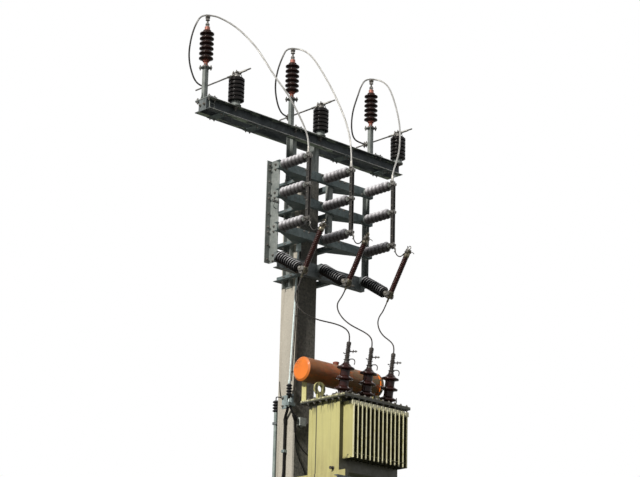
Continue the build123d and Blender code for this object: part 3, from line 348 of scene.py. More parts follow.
def drum_paint():
    """Orange primer, painted lighter on the end plate that faces the light, stained and browner along the
    drum.
    """
    f = Finish("drum_paint", roughness=0.5, coat=0.05)
    wall = f.mix(f.ramp(f.noise(7.0, 5.0, 0.6), 0.35, 0.65), (0.58, 0.155, 0.028), (0.36, 0.092, 0.02))
    stains = f.ramp(f.noise(11.0, 6.0, 0.65, (0.5, 1.6, 1.6)), 0.42, 0.52)
    stains = f.times(stains, f.ramp(f.across("X"), -0.35, 0.45, 0.5, 1.0))
    wall = f.over(wall, stains, 0.92, (0.10, 0.085, 0.026))
    low = f.ramp(f.height(), 6.34, 6.5, 1.0, 0.0)
    wall = f.over(wall, low, 0.45, (0.115, 0.055, 0.02))
    # Painted light: the end plate turned to -X is lighter.
    sunlit_end = f.ramp(f.facing("X"), -0.97, -0.6, 1.0, 0.0)
    sunlit_end_colour = f.mix(f.ramp(f.noise(9.0, 3.0, 0.5), 0.3, 0.7), (0.93, 0.235, 0.022), (0.84, 0.2, 0.02))
    corner = f.times(f.ramp(f.across("Y"), -0.74, -0.62), f.ramp(f.height(), 6.47, 6.56))
    specks = f.times(corner, f.ramp(f.noise(48.0, 6.0, 0.7), 0.48, 0.56))
    sunlit_end_colour = f.mix(specks, sunlit_end_colour, (0.09, 0.045, 0.02))
    base = f.mix(sunlit_end, wall, sunlit_end_colour)
    chips = f.ramp(f.noise(38.0, 8.0, 0.78), 0.645, 0.68)
    f.colour(f.over(base, chips, 0.85, (0.06, 0.035, 0.02)))
    f.rough(f.ramp(f.noise(24.0, 4.0, 0.6), 0.3, 0.7, 0.4, 0.66))
    f.bump(f.noise(50.0, 5.0, 0.6), 0.0016, 0.4)
    return f.material


def bare_metal(name, pale, dark, roughness=0.38, metallic=0.75, tarnish=0.4):
    f = Finish(name, roughness=roughness, metallic=metallic)
    base = f.mix(f.ramp(f.noise(20.0, 5.0, 0.6), 0.35, 0.65), pale, dark)
    spots = f.times(f.ramp(f.noise(55.0, 6.0, 0.7), 0.5, 0.66), tarnish)
    f.colour(f.mix(spots, base, tuple(c * 0.3 for c in dark)))
    f.rough(f.ramp(f.noise(35.0, 4.0, 0.6), 0.3, 0.7, roughness - 0.1, roughness + 0.2))
    f.bump(f.noise(90.0, 4.0, 0.6), 0.001, 0.45)
    return f.material


def stranded(name, pale, dark, strands, pitch, length, metallic=0.5, roughness=0.45):
    """A laid conductor: its strands turn round it as they run along it."""
    f = Finish(name, roughness=roughness, metallic=metallic)
    uv = f.add("ShaderNodeTexCoord").outputs["UV"]
    laid = f.stretched((length / pitch, strands, 1), uv)
    total = f.add("ShaderNodeMath")
    total.operation = "ADD"
    f.link(f.part_of(laid, "X"), total.inputs[0])
    f.link(f.part_of(laid, "Y"), total.inputs[1])
    turn = f.times(total.outputs["Value"], 2 * pi)
    wave = f.add("ShaderNodeMath")
    wave.operation = "SINE"
    f.link(turn, wave.inputs[0])
    # Painted shade in the grooves between the strands.
    groove = f.ramp(wave.outputs["Value"], -1.0, 0.2, 1.0, 0.0)
    base = f.mix(f.ramp(f.noise(15.0, 4.0, 0.6), 0.35, 0.65), pale, dark)
    # Painted shade on the rear of the conductors, beyond Y 0.04.
    base = f.over(base, f.ramp(f.across("Y"), 0.04, 0.12), 0.85, (0.06, 0.058, 0.055))
    f.colour(f.over(base, groove, 0.9, tuple(c * 0.16 for c in dark)))
    f.bump(wave.outputs["Value"], 0.0012, 0.8)
    return f.material


def capped_stem():
    """Red primer on the cap, bare steel on the stem above it."""
    f = Finish("capped_stem", roughness=0.5, metallic=0.3)
    red = f.mix(f.ramp(f.noise(24.0, 5.0, 0.6), 0.35, 0.65), (0.50, 0.20, 0.15), (0.30, 0.105, 0.075))
    steel = f.mix(f.ramp(f.noise(40.0, 5.0, 0.6), 0.35, 0.65), (0.16, 0.145, 0.13), (0.06, 0.052, 0.046))
    f.colour(f.mix(f.ramp(f.height(), 10.431, 10.433), red, steel))
    f.bump(f.noise(90.0, 4.0, 0.6), 0.001, 0.5)
    return f.material


def black_covering(name, tone=0.006):
    f = Finish(name, roughness=0.7, shine=0.12)
    base = f.mix(f.ramp(f.noise(12.0, 5.0, 0.6), 0.3, 0.7), (tone, tone, tone * 1.05),
                 (tone * 2.4, tone * 2.3, tone * 2.2))
    f.colour(base)
    f.rough(f.ramp(f.noise(30.0, 4.0, 0.6), 0.3, 0.7, 0.5, 0.75))
    f.bump(f.noise(80.0, 3.0, 0.5), 0.0008, 0.4)
    return f.material


concrete = cast_concrete()
zinc = weathered_zinc("weathered_zinc", (0.22, 0.245, 0.25), (0.115, 0.13, 0.135))
# A darker copy of the zinc for the crossarm: painted shade, with painted light patches on its undersides.
shaded_arm_zinc = weathered_zinc("shaded_crossarm_zinc", (0.125, 0.142, 0.15), (0.058, 0.068, 0.073),
                          painted_light_patches=(0.36, 0.42, 0.33))
guide_zinc = weathered_zinc("guide_zinc", (0.38, 0.45, 0.45), (0.2, 0.255, 0.26), rust=0.2)
zinc_pale = weathered_zinc("pale_zinc", (0.36, 0.385, 0.37), (0.22, 0.245, 0.235), rust=0.3)
# A darker copy of the zinc for the switch beams and the crossarm battens: painted shade.
shaded_zinc_plate = weathered_zinc("shaded_plate_zinc", (0.215, 0.26, 0.265), (0.115, 0.15, 0.155), rust=0.2, spangle=55.0)
bolt_zinc = weathered_zinc("bolt_zinc", (0.30, 0.29, 0.27), (0.13, 0.12, 0.11), rust=0.5, spangle=120.0)
line_glaze = glazed("line_glaze", (0.009, 0.006, 0.005), (0.07, 0.06, 0.042), roughness=0.10,
                    groove=((0, 0, 9.583), (0, 0, 1), 0.048))
post_glaze = glazed("post_glaze", (0.036, 0.016, 0.012), (0.13, 0.10, 0.08), roughness=0.10)
bushing_glaze = glazed("bushing_glaze", (0.042, 0.013, 0.011), (0.10, 0.06, 0.05), dust_and_glint_share=0.2, roughness=0.14)
fuse_glaze = glazed("fuse_glaze", (0.046, 0.012, 0.009), (0.10, 0.05, 0.04), dust_and_glint_share=0.2, soot_and_shade=0.6,
                    groove=((0, -0.8235, 7.5561), (0, -0.5225, 0.8526), 0.020))
black_glaze = glazed("black_glaze", (0.020, 0.021, 0.025), (0.17, 0.16, 0.17), dust_and_glint_share=0.5)
# Black glaze whose pale colour on faces turned up and on the crests is painted glints.
ribbed_glaze = glazed("ribbed_glaze", (0.022, 0.021, 0.024), (0.66, 0.66, 0.68), dust_and_glint_share=0.95,
                      roughness=0.10, groove=((0, -0.3988, 7.7835), (0, -0.8526, -0.5225), 0.0384, 0.2),
                      rim=(0.80, 0.80, 0.83))
switch_glaze = chalky_glaze()
green_paint = tank_paint()
fin_paint = tank_paint("fin_paint", fins=True)
cover_paint = rim_paint()
orange_paint = drum_paint()
# Paler than the tank paint: painted light on the conservator supports, which sit in the drum's shadow.
lit_bracket_paint = weathered_zinc("lit_bracket_paint", (0.86, 0.82, 0.40), (0.66, 0.62, 0.28), rust=0.1,
                               metallic=0.0)
grey_paint = weathered_zinc("box_paint", (0.60, 0.64, 0.62), (0.48, 0.52, 0.51), rust=0.05, metallic=0.0)
red_primer = weathered_zinc("red_primer", (0.40, 0.125, 0.085), (0.25, 0.085, 0.06), rust=0.3,
                            metallic=0.05, roughness=0.6)
stem_and_cap = capped_stem()
bronze = bare_metal("tinned_bronze", (0.30, 0.27, 0.19), (0.055, 0.047, 0.038), tarnish=1.0)
clamp_alloy = bare_metal("clamp_alloy", (0.50, 0.49, 0.46), (0.24, 0.23, 0.21), tarnish=0.6)
# Pale rods that are a painted highlight along the crossarm's flange edges.
painted_highlight_edge = bare_metal("painted_highlight_edge", (0.80, 0.80, 0.78), (0.56, 0.56, 0.54), metallic=0.1, tarnish=1.0)
contact_steel = bare_metal("contact_steel", (0.34, 0.33, 0.31), (0.11, 0.10, 0.09), metallic=0.5)
blade_copper = bare_metal("blade_copper", (0.040, 0.037, 0.034), (0.016, 0.015, 0.014), metallic=0.2,
                          roughness=0.5)
dark_stem = bare_metal("dark_stem", (0.085, 0.072, 0.064), (0.03, 0.026, 0.023), metallic=0.25, roughness=0.5)
cable_black = black_covering("cable_black")
pipe_zinc = weathered_zinc("pipe_zinc", (0.36, 0.42, 0.40), (0.22, 0.27, 0.26), rust=0.15)
rod_paint = weathered_zinc("rod_zinc", (0.80, 0.90, 0.90), (0.66, 0.76, 0.76), rust=0.05)

finish_groups = (
    (concrete, ("pole",)),
    (zinc_pale, ("head_channels", "line_insulator_feet", "jumper_posts", "switch_rails",
                 "switch_insulator_bases")),
    (shaded_arm_zinc, ("crossarm_channels",)),
    (zinc, ("crossarm_end_plates", "pole_straps", "fuse_beam", "fuse_insulator_wedges",
            "fuse_insulator_bases", "support_cross_channels", "support_cantilevers", "support_struts",
            "operating_lever", "cable_pipe_clamps")),
    (line_glaze, ("line_insulators",)),
    (contact_steel, ("line_insulator_caps", "tap_clamps", "switch_contacts", "line_conductor_stubs")),
    (red_primer, ("jumper_insulator_feet",)),
    (post_glaze, ("jumper_insulators",)),
    (stem_and_cap, ("jumper_saddles",)),
    (shaded_zinc_plate, ("switch_beams", "switch_bracket_arms", "switch_gussets")),
    (switch_glaze, ("switch_insulators",)),
    (blade_copper, ("switch_blades", "fuse_links")),
    (black_glaze, ("fuse_insulators", "operating_rod_insulator", "cable_pipe_head")),
    (fuse_glaze, ("fuse_tubes",)),
    (bronze, ("fuse_contacts",)),
    (green_paint, ("transformer_tank", "transformer_skids", "lifting_lugs")),
    (cover_paint, ("transformer_cover", "bushing_flanges")),
    (fin_paint, ("cooling_fins",)),
    (orange_paint, ("conservator",)),
    (lit_bracket_paint, ("conservator_supports",)),
    (bushing_glaze, ("bushings", "low_voltage_bushings")),
    (dark_stem, ("bushing_terminals",)),
    (rod_paint, ("operating_rod",)),
    (guide_zinc, ("operating_rod_guides",)),
    (cable_black, ("pole_cable",)),
    (pipe_zinc, ("cable_pipe",)),
    (grey_paint, ("junction_box",)),
)
finishes = {name: finish for finish, names in finish_groups for name in names}

for node_name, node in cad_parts.items():
    material = finishes.get(node_name, contact_steel)
    node.data.materials.clear()
    node.data.materials.append(material)


# Jumpers and leads, along the routes of their solids
jumper_routes = {
    "jumper_a": (3.229, [
        (-1.1593, 0.480, 9.926), (-1.232, 0.480, 9.926), (-1.318, 0.458, 9.962), (-1.400, 0.415, 10.025),
        (-1.480, 0.360, 10.095), (-1.545, 0.295, 10.175), (-1.590, 0.225, 10.262), (-1.612, 0.165, 10.360),
        (-1.608, 0.112, 10.465), (-1.560, 0.078, 10.578), (-1.440, -0.008, 10.582), (-1.350, -0.075, 10.540),
        (-1.275, -0.150, 10.475), (-1.212, -0.228, 10.390), (-1.158, -0.303, 10.290), (-1.106, -0.372, 10.190),
        (-1.070, -0.440, 10.070), (-1.034, -0.503, 9.950), (-0.994, -0.565, 9.828), (-0.940, -0.625, 9.712),
        (-0.880, -0.678, 9.600), (-0.822, -0.722, 9.477), (-0.766, -0.760, 9.352), (-0.714, -0.792, 9.228),
        (-0.680, -0.818, 9.112), (-0.670, -0.830, 9.004), (-0.670, -0.830, 8.9123)]),
    "jumper_b": (3.037, [
        (0.1707, 0.480, 9.926), (0.095, 0.480, 9.926), (0.010, 0.458, 9.978), (-0.070, 0.412, 10.045),
        (-0.140, 0.360, 10.115), (-0.200, 0.300, 10.190), (-0.245, 0.232, 10.272), (-0.270, 0.165, 10.365),
        (-0.262, 0.115, 10.468), (-0.230, 0.078, 10.578), (-0.110, -0.008, 10.582), (-0.072, -0.105, 10.525),
        (-0.058, -0.200, 10.425), (-0.052, -0.285, 10.310), (-0.047, -0.362, 10.195), (-0.042, -0.438, 10.075),
        (-0.038, -0.512, 9.955), (-0.036, -0.582, 9.830), (-0.028, -0.648, 9.700), (-0.014, -0.705, 9.565),
        (-0.002, -0.752, 9.430), (0.003, -0.792, 9.290), (0.002, -0.818, 9.150), (0.000, -0.830, 9.018),
        (0.000, -0.830, 8.9123)]),
    "jumper_c": (3.200, [
        (1.4807, 0.480, 9.926), (1.400, 0.480, 9.926), (1.305, 0.470, 9.932), (1.222, 0.432, 9.972),
        (1.150, 0.375, 10.038), (1.090, 0.310, 10.110), (1.042, 0.240, 10.190), (1.018, 0.172, 10.278),
        (1.020, 0.125, 10.375), (1.040, 0.110, 10.465), (1.090, 0.078, 10.578), (1.210, -0.008, 10.582),
        (1.232, -0.112, 10.520), (1.215, -0.212, 10.415), (1.180, -0.300, 10.290), (1.140, -0.385, 10.155),
        (1.096, -0.468, 10.013), (1.050, -0.545, 9.870), (1.000, -0.615, 9.735), (0.940, -0.680, 9.590),
        (0.876, -0.740, 9.435), (0.808, -0.786, 9.285), (0.735, -0.816, 9.150), (0.682, -0.829, 9.035),
        (0.670, -0.830, 8.980), (0.670, -0.830, 8.9123)]),
}
lead_routes = {
    "lead_a": (1.237, [
        (-0.670, -0.7941, 7.5081), (-0.670, -0.7627, 7.4569), (-0.675, -0.742, 7.395), (-0.712, -0.752, 7.325),
        (-0.768, -0.785, 7.248), (-0.806, -0.828, 7.158), (-0.800, -0.880, 7.068), (-0.748, -0.938, 7.000),
        (-0.672, -0.990, 6.958), (-0.585, -1.040, 6.938), (-0.490, -1.092, 6.925), (-0.410, -1.150, 6.898),
        (-0.362, -1.200, 6.850), (-0.345, -1.2165, 6.7851), (-0.345, -1.2072, 6.7258)]),
    "lead_b": (1.089, [
        (0.000, -0.7941, 7.5081), (0.000, -0.7627, 7.4569), (-0.014, -0.738, 7.398), (-0.062, -0.752, 7.345),
        (-0.125, -0.785, 7.288), (-0.180, -0.832, 7.222), (-0.208, -0.888, 7.140), (-0.196, -0.950, 7.056),
        (-0.150, -1.012, 6.990), (-0.085, -1.075, 6.942), (-0.030, -1.135, 6.900), (-0.004, -1.190, 6.848),
        (0.000, -1.2165, 6.7851), (0.000, -1.2072, 6.7258)]),
    "lead_c": (1.076, [
        (0.670, -0.7941, 7.5081), (0.670, -0.7627, 7.4569), (0.660, -0.738, 7.398), (0.622, -0.745, 7.340),
        (0.560, -0.775, 7.290), (0.492, -0.815, 7.230), (0.430, -0.862, 7.160), (0.382, -0.920, 7.085),
        (0.350, -0.985, 7.010), (0.335, -1.055, 6.945), (0.335, -1.125, 6.895), (0.339, -1.185, 6.845),
        (0.340, -1.2165, 6.7851), (0.340, -1.2072, 6.7258)]),
}


def smooth_cord(name, node_name, points, diameter, finish):
    curve = bpy.data.curves.new(name, "CURVE")
    curve.dimensions = "3D"
    curve.bevel_depth = diameter / 2
    curve.bevel_resolution = 4
    curve.resolution_u = 8
    curve.use_fill_caps = True
    spline = curve.splines.new("NURBS")
    spline.points.add(len(points) - 1)
    for slot, point in zip(spline.points, points):
        slot.co = (*point, 1.0)
    spline.order_u = 3
    spline.use_endpoint_u = True
    piece = bpy.data.objects.new(name, curve)
    bpy.context.scene.collection.objects.link(piece)
    curve.materials.append(finish)
    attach(piece, "root")
    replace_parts(piece, node_name)
    return piece


for node_name, (length, points) in jumper_routes.items():
    strand = stranded(f"{node_name}_strands", (0.74, 0.73, 0.70), (0.50, 0.49, 0.47), 7, 0.17, length)
    smooth_cord(f"{node_name}_conductor", node_name, points, 0.020, strand)
for node_name, (length, points) in lead_routes.items():
    strand = stranded(f"{node_name}_strands", (0.085, 0.075, 0.066), (0.036, 0.031, 0.027), 7, 0.07, length)
    smooth_cord(f"{node_name}_conductor", node_name, points, 0.015, strand)


# Modelling by hand: selecting, turning, copying and keeping pieces
def lay_tools_down():
    if bpy.context.object and bpy.context.object.mode != "OBJECT":
        bpy.ops.object.mode_set(mode="OBJECT")
    bpy.ops.object.select_all(action="DESELECT")


def pick(piece):
    lay_tools_down()
    piece.select_set(True)
    bpy.context.view_layer.objects.active = piece


def aimed(point, direction):
    """A place at a point, with +Z along a direction."""
    turn = Vector(direction).to_track_quat("Z", "Y").to_matrix().to_4x4()
    return Matrix.Translation(Vector(point)) @ turn


def joined(pieces):
    lay_tools_down()
    for piece in pieces:
        piece.select_set(True)
    bpy.context.view_layer.objects.active = pieces[0]
    if len(pieces) > 1:
        bpy.ops.object.join()
    return bpy.context.view_layer.objects.active


def settled(piece):
    pick(piece)
    bpy.ops.object.transform_apply(location=True, rotation=True, scale=True)
    return piece


def placed(piece, place):
    piece.matrix_world = place
    return settled(piece)


def chosen(piece, kind, test):
    """Edit mode, with only the faces or corners picked that pass the test."""
    pick(piece)
    bpy.ops.object.mode_set(mode="EDIT")
    bpy.ops.mesh.select_mode(type=kind)
    bpy.ops.mesh.select_all(action="DESELECT")
    bpy.ops.object.mode_set(mode="OBJECT")
    for item in piece.data.polygons if kind == "FACE" else piece.data.vertices:
        item.select = test(item)
    bpy.ops.object.mode_set(mode="EDIT")


def kept(piece, name, finish):
    settled(piece)
    piece.name = name
    piece.data.name = name
    piece.data.materials.clear()
    piece.data.materials.append(finish)
    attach(piece, "root")
    return piece


def turned_on_lathe(profile, sides=20):
    """A closed round piece on +Z: a disc extruded and resized along (radius, height) steps."""
    lay_tools_down()
    first_r, first_z = profile[0]
    bpy.ops.mesh.primitive_circle_add(vertices=sides, radius=first_r, fill_type="NGON",
                                      location=(0, 0, first_z))
    piece = settled(bpy.context.object)
    bpy.ops.object.mode_set(mode="EDIT")
    bpy.ops.mesh.select_mode(type="FACE")
    bpy.ops.mesh.select_all(action="SELECT")
    r, z = first_r, first_z
    for next_r, next_z in profile[1:]:
        bpy.ops.mesh.extrude_region_move(TRANSFORM_OT_translate={"value": (0, 0, next_z - z)})
        share = next_r / r
        bpy.ops.transform.resize(value=(share, share, 1))
        r, z = next_r, next_z
    bpy.ops.mesh.select_all(action="SELECT")
    bpy.ops.mesh.normals_make_consistent(inside=False)
    bpy.ops.object.mode_set(mode="OBJECT")
    bpy.ops.object.shade_smooth_by_angle(angle=radians(35))
    return piece


def plate(size, centre, edge=0.0015):
    """A flat plate with eased edges."""
    lay_tools_down()
    bpy.ops.mesh.primitive_cube_add(size=1, location=centre, scale=size)
    piece = settled(bpy.context.object)
    bpy.ops.object.mode_set(mode="EDIT")
    bpy.ops.mesh.select_all(action="SELECT")
    bpy.ops.mesh.bevel(offset=edge, segments=1)
    bpy.ops.object.mode_set(mode="OBJECT")
    return piece


def bent_rod(points, radius, smooth=True, sides=3):
    """A round rod along given points."""
    curve = bpy.data.curves.new("rod", "CURVE")
    curve.dimensions = "3D"
    curve.bevel_depth = radius
    curve.bevel_resolution = sides
    curve.resolution_u = 6
    curve.use_fill_caps = True
    spline = curve.splines.new("NURBS" if smooth else "POLY")
    spline.points.add(len(points) - 1)
    for slot, point in zip(spline.points, points):
        slot.co = (*point, 1.0)
    if smooth:
        spline.order_u = 3
        spline.use_endpoint_u = True
    piece = bpy.data.objects.new("rod", curve)
    bpy.context.scene.collection.objects.link(piece)
    pick(piece)
    bpy.ops.object.convert(target="MESH")
    return bpy.context.object


def copies(pattern, places):
    """One copy of the pattern at each place, joined; the pattern is used up."""
    made = []
    for place in places:
        pick(pattern)
        bpy.ops.object.duplicate()
        copy = bpy.context.object
        copy.matrix_world = place
        made.append(copy)
    lay_tools_down()
    pattern.select_set(True)
    bpy.ops.object.delete()
    return joined(made)


def hex_bolt(across, tall, washer=0.0025, shank=0.0):
    """A hexagon head on a washer, with a shank end through its nut where it has one."""
    lay_tools_down()
    bpy.ops.mesh.primitive_cylinder_add(vertices=10, radius=across * 0.68, depth=washer,
                                        location=(0, 0, washer / 2))
    ring = settled(bpy.context.object)
    lay_tools_down()
    bpy.ops.mesh.primitive_cylinder_add(vertices=6, radius=across * 0.577, depth=tall,
                                        location=(0, 0, washer + tall / 2))
    head = settled(bpy.context.object)
    chosen(head, "FACE", lambda face: face.normal.z > 0.9)
    bpy.ops.mesh.bevel(offset=tall * 0.16, segments=1)
    bpy.ops.object.mode_set(mode="OBJECT")
    parts = [ring, head]
    if shank:
        lay_tools_down()
        bpy.ops.mesh.primitive_cylinder_add(vertices=8, radius=across * 0.3, depth=shank,
                                            location=(0, 0, washer + tall + shank / 2))
        parts.append(settled(bpy.context.object))
    return joined(parts)


up = (0, 0, 1)
down = (0, 0, -1)
front = (0, -1, 0)
rear = (0, 1, 0)
left = (-1, 0, 0)
right = (1, 0, 0)
line_xs = (-1.140, 0.190, 1.500)
post_xs = (-1.500, -0.170, 1.150)
phase_xs = (-0.670, 0.0, 0.670)
levels = (8.870, 8.530, 8.130)
bushing_xs = (-0.345, 0.0, 0.340)
cover_top = 6.125
rim_low = 6.093
beam_face_y = -0.400
line_y = -0.095
wire_z = 9.926
post_y = 0.035
bushing_y = -1.112
drum_y, drum_z = -0.704, 6.464
jumper_end_y = -0.830
blade_y = -0.841
spacer_levels = (8.79, 8.70, 8.61, 8.44, 8.34, 8.24)
batten_xs = (-1.32, -0.78, 0.62, 1.30)
fuse_seat = Vector((0, -0.380, 7.795))
fuse_tip = Vector((0, -0.8089, 7.5322))


def outward(side):
    """To the left on the negative side, to the right on the other."""
    return left if side < 0 else right


def spread(direction, xs, ys, zs):
    """Places at every x, y and z of three rows, all facing one way."""
    return [aimed((x, y, z), direction) for x in xs for y in ys for z in zs]


def bolts(name, head, places, finish=bolt_zinc):
    """A bolt head or a stud copied to each place, kept as one piece."""
    return kept(copies(head, places), name, finish)


def turned_row(profile, sides, places):
    """A round piece turned anew for each place."""
    return [placed(turned_on_lathe(profile, sides), place) for place in places]


# Bolts of the steelwork
def steelwork_bolts():
    head_zs, strap_zs = (9.420, 9.490), (7.68, 8.02, 8.36, 8.70, 8.86)
    places = spread(front, (-0.190, 0.190), (-0.067,), head_zs)
    places += spread(rear, (-0.190, 0.190), (0.067,), head_zs)
    for side in (-1, 1):
        places += spread(outward(side), (side * 0.1595,), (-0.028, 0.028), strap_zs)
        places += spread(outward(side), (side * 1.55,), (-0.035, 0.035), (9.455,))
    bolts("head_and_crossarm_bolts", hex_bolt(0.026, 0.014, shank=0.010), places)

    beam_xs = (-0.695, -0.645, -0.31, -0.235, -0.06, 0.14, 0.235, 0.31, 0.645, 0.695, 0.758)
    places = spread(front, beam_xs, (beam_face_y,), [z + 0.034 for z in levels])
    places += spread(front, (-0.60, 0.0, 0.60), (beam_face_y,), [z - 0.036 for z in levels])
    bolts("switch_beam_bolts", hex_bolt(0.019, 0.010), places)

    plate_zs = (7.78, 7.95, 8.10, 8.16, 8.32, 8.50, 8.56, 8.70, 8.84, 8.90)
    rail_zs = (7.75, 7.82, 8.10, 8.16, 8.50, 8.56, 8.84, 8.90)
    places = spread(front, (-0.700,), (-0.217,), plate_zs)
    places += spread(right, (0.775,), (-0.320,), rail_zs)
    places += spread(left, (-0.667,), (-0.285,), rail_zs)
    bolts("switch_rail_bolts", hex_bolt(0.022, 0.012, shank=0.006), places)

    arm_zs = (7.713, 8.116, 8.516, 8.856)
    places = spread(front, (-0.52, -0.26, 0.0, 0.26, 0.52), (-0.350,), (7.705, 7.805))
    for side in (-1, 1):
        places += spread(outward(side), (side * 0.2135,), (-0.10, 0.02), arm_zs)
        places += spread(rear, (side * 0.110,), (0.153,), arm_zs)
        places += spread(outward(side), (side * 0.1605,), (-0.09, 0.09), (5.070, 4.075))
        places += spread(down, (side * 0.182,), (-0.62, -1.27), (5.132,))
    bolts("bracket_and_strap_bolts", hex_bolt(0.024, 0.013, shank=0.012), places)


# Bolts round the cover, the conservator's flange and the bushings
def transformer_bolts():
    long_xs = [-0.46 + 0.092 * i for i in range(11)]
    short_ys = [-1.21 + 0.096 * i for i in range(6)]
    places = []
    for z, way in ((cover_top, up), (rim_low, down)):
        places += spread(way, long_xs, (-1.300, -0.640), (z,))
        places += spread(way, (-0.480, 0.480), short_ys, (z,))
    bolts("cover_bolts", hex_bolt(0.024, 0.013, shank=0.007), places)

    places = []
    for i in range(12):
        a = 2 * pi * i / 12 + 0.2
        y = drum_y + 0.141 * cos(a)
        z = drum_z + 0.141 * sin(a)
        places += [aimed((0.5315, y, z), right), aimed((0.5085, y, z), left)]
    bolts("conservator_flange_bolts", hex_bolt(0.013, 0.008, washer=0.0015), places)

    places = []
    for x in bushing_xs:
        for i in range(4):
            a = pi / 4 + pi / 2 * i
            places.append(aimed((x + 0.064 * cos(a), -1.117 + 0.064 * sin(a), 6.157 + 0.010 * sin(a)), up))
    bolts("bushing_flange_bolts", hex_bolt(0.018, 0.012, shank=0.008), places)


# Clamps that hold the line conductors on their insulators
def conductor_clamps():
    keeper = plate((0.050, 0.078, 0.010), (0, 0, 0.005), 0.003)
    chosen(keeper, "FACE", lambda face: abs(face.normal.y) > 0.9)
    bpy.ops.mesh.extrude_region_move(TRANSFORM_OT_translate={"value": (0, 0, -0.006)})
    bpy.ops.transform.resize(value=(0.9, 1.22, 0.9))
    bpy.ops.object.mode_set(mode="OBJECT")
    places = [Matrix.Translation((x, line_y, 9.936)) for x in line_xs]
    kept(copies(keeper, places), "conductor_keepers", clamp_alloy)

    places = []
    for x in line_xs:
        places += spread(up, (x - 0.031, x + 0.031), (line_y - 0.026, line_y + 0.026), (wire_z,))
    bolts("conductor_keeper_nuts", hex_bolt(0.020, 0.013, shank=0.016), places)

    ears = []
    for x in line_xs:
        for side in (-1, 1):
            ears.append(bent_rod([(x + side * 0.036, -0.095, 9.896), (x + side * 0.062, -0.098, 9.892),
                                  (x + side * 0.074, -0.098, 9.908), (x + side * 0.066, -0.097, 9.930),
                                  (x + side * 0.048, -0.096, 9.934)], 0.005))
    kept(joined(ears), "conductor_clamp_ears", clamp_alloy)

    wraps = [(0.0108, 0.0)]
    for i in range(9):
        wraps += [(0.0132, 0.004 + 0.014 * i), (0.0132, 0.010 + 0.014 * i), (0.0108, 0.014 + 0.014 * i)]
    places = spread(front, line_xs, (-0.136,), (wire_z,)) + spread(rear, line_xs, (-0.054,), (wire_z,))
    kept(copies(turned_on_lathe(wraps, 12), places), "conductor_armour_wraps", clamp_alloy)

    stud = turned_on_lathe([(0.036, 0.0), (0.036, 0.004), (0.020, 0.004), (0.020, 0.022), (0.011, 0.024),
                            (0.011, 0.050)], 8)
    bolts("line_insulator_studs", stud, spread(down, line_xs, (line_y,), (9.515,)))


# Fittings of the tall insulators that carry the jumpers
def jumper_post_fittings():
    collar = plate((0.112, 0.112, 0.010), (0, 0, 0), 0.002)
    places = [Matrix.Translation((x, post_y, 9.9285)) for x in post_xs]
    kept(copies(collar, places), "post_top_plates", zinc_pale)
    tops, feet = [], []
    for x in post_xs:
        for z, way in ((9.9335, up), (9.9235, down)):
            tops += spread(way, (x - 0.043, x + 0.043), (post_y - 0.043, post_y + 0.043), (z,))
        for z, way in ((9.535, up), (9.515, down)):
            feet += spread(way, (x - 0.041, x + 0.041), (-0.100, 0.100), (z,))
    bolts("post_top_bolts", hex_bolt(0.020, 0.012, shank=0.012), tops)
    bolts("post_foot_bolts", hex_bolt(0.024, 0.014, shank=0.010), feet)

    ribs = []
    for x in post_xs:
        for side in (-1, 1):
            rib = plate((0.030, 0.006, 0.090), (x + side * 0.040, post_y, 9.580), 0.001)
            chosen(rib, "VERT", lambda v: v.co.z > 9.60 and side * (v.co.x - x) > 0.040)
            bpy.ops.transform.translate(value=(-side * 0.026, 0, 0))
            bpy.ops.object.mode_set(mode="OBJECT")
            ribs.append(rib)
    kept(joined(ribs), "post_foot_ribs", zinc_pale)

    places = spread(up, post_xs, (post_y,), (10.432, 10.459, 10.516))
    bolts("stem_nuts", hex_bolt(0.038, 0.017, washer=0.004), places, contact_steel)

    jaws, places = [], []
    for x in post_xs:
        turn = Matrix.Translation((x, post_y, 10.563)) @ Matrix.Rotation(radians(-35.6), 4, "Z")
        for side in (-1, 1):
            jaw = plate((0.050, 0.006, 0.040), (0, side * 0.0150, 0), 0.0015)
            jaws.append(placed(jaw, turn))
            for end in (-0.015, 0.015):
                spot = turn @ Vector((end, side * 0.018, -0.006))
                places.append(aimed(spot, turn.to_3x3() @ Vector((0, side, 0))))
    kept(joined(jaws), "jumper_saddle_jaws", contact_steel)
    bolts("jumper_saddle_bolts", hex_bolt(0.013, 0.008, washer=0.0015, shank=0.004), places)

    bands = turned_row([(0.049, 0.0), (0.051, 0.006), (0.051, 0.012), (0.0475, 0.018)], 24,
                       [Matrix.Translation((x, post_y, 10.020)) for x in post_xs])
    bands += turned_row([(0.0475, 0.0), (0.040, 0.008), (0.0315, 0.012)], 24,
                        [Matrix.Translation((x, post_y, 10.384)) for x in post_xs])
    kept(joined(bands), "jumper_insulator_cement_bands", red_primer)


# Tap clamps and the sleeves at the jumpers' ends
def tap_and_end_fittings():
    bolt_ys = (0.462, 0.498)
    places = spread(up, line_xs, bolt_ys, (9.945,)) + spread(down, line_xs, bolt_ys, (9.907,))
    bolts("tap_clamp_bolts", hex_bolt(0.017, 0.011, shank=0.010), places)
    grips = turned_row([(0.013, -0.012), (0.0175, -0.006), (0.0175, 0.006), (0.013, 0.012)], 14,
                       spread(rear, line_xs, (0.4470, 0.5130), (wire_z,)))
    kept(joined(grips), "tap_clamp_grips", clamp_alloy)

    sleeves = turned_row([(0.019, 0.0), (0.019, 0.006), (0.0145, 0.010), (0.0145, 0.070), (0.0125, 0.076)],
                         14, spread(up, phase_xs, (jumper_end_y,), (8.912,)))
    kept(joined(sleeves), "jumper_end_sleeves", clamp_alloy)


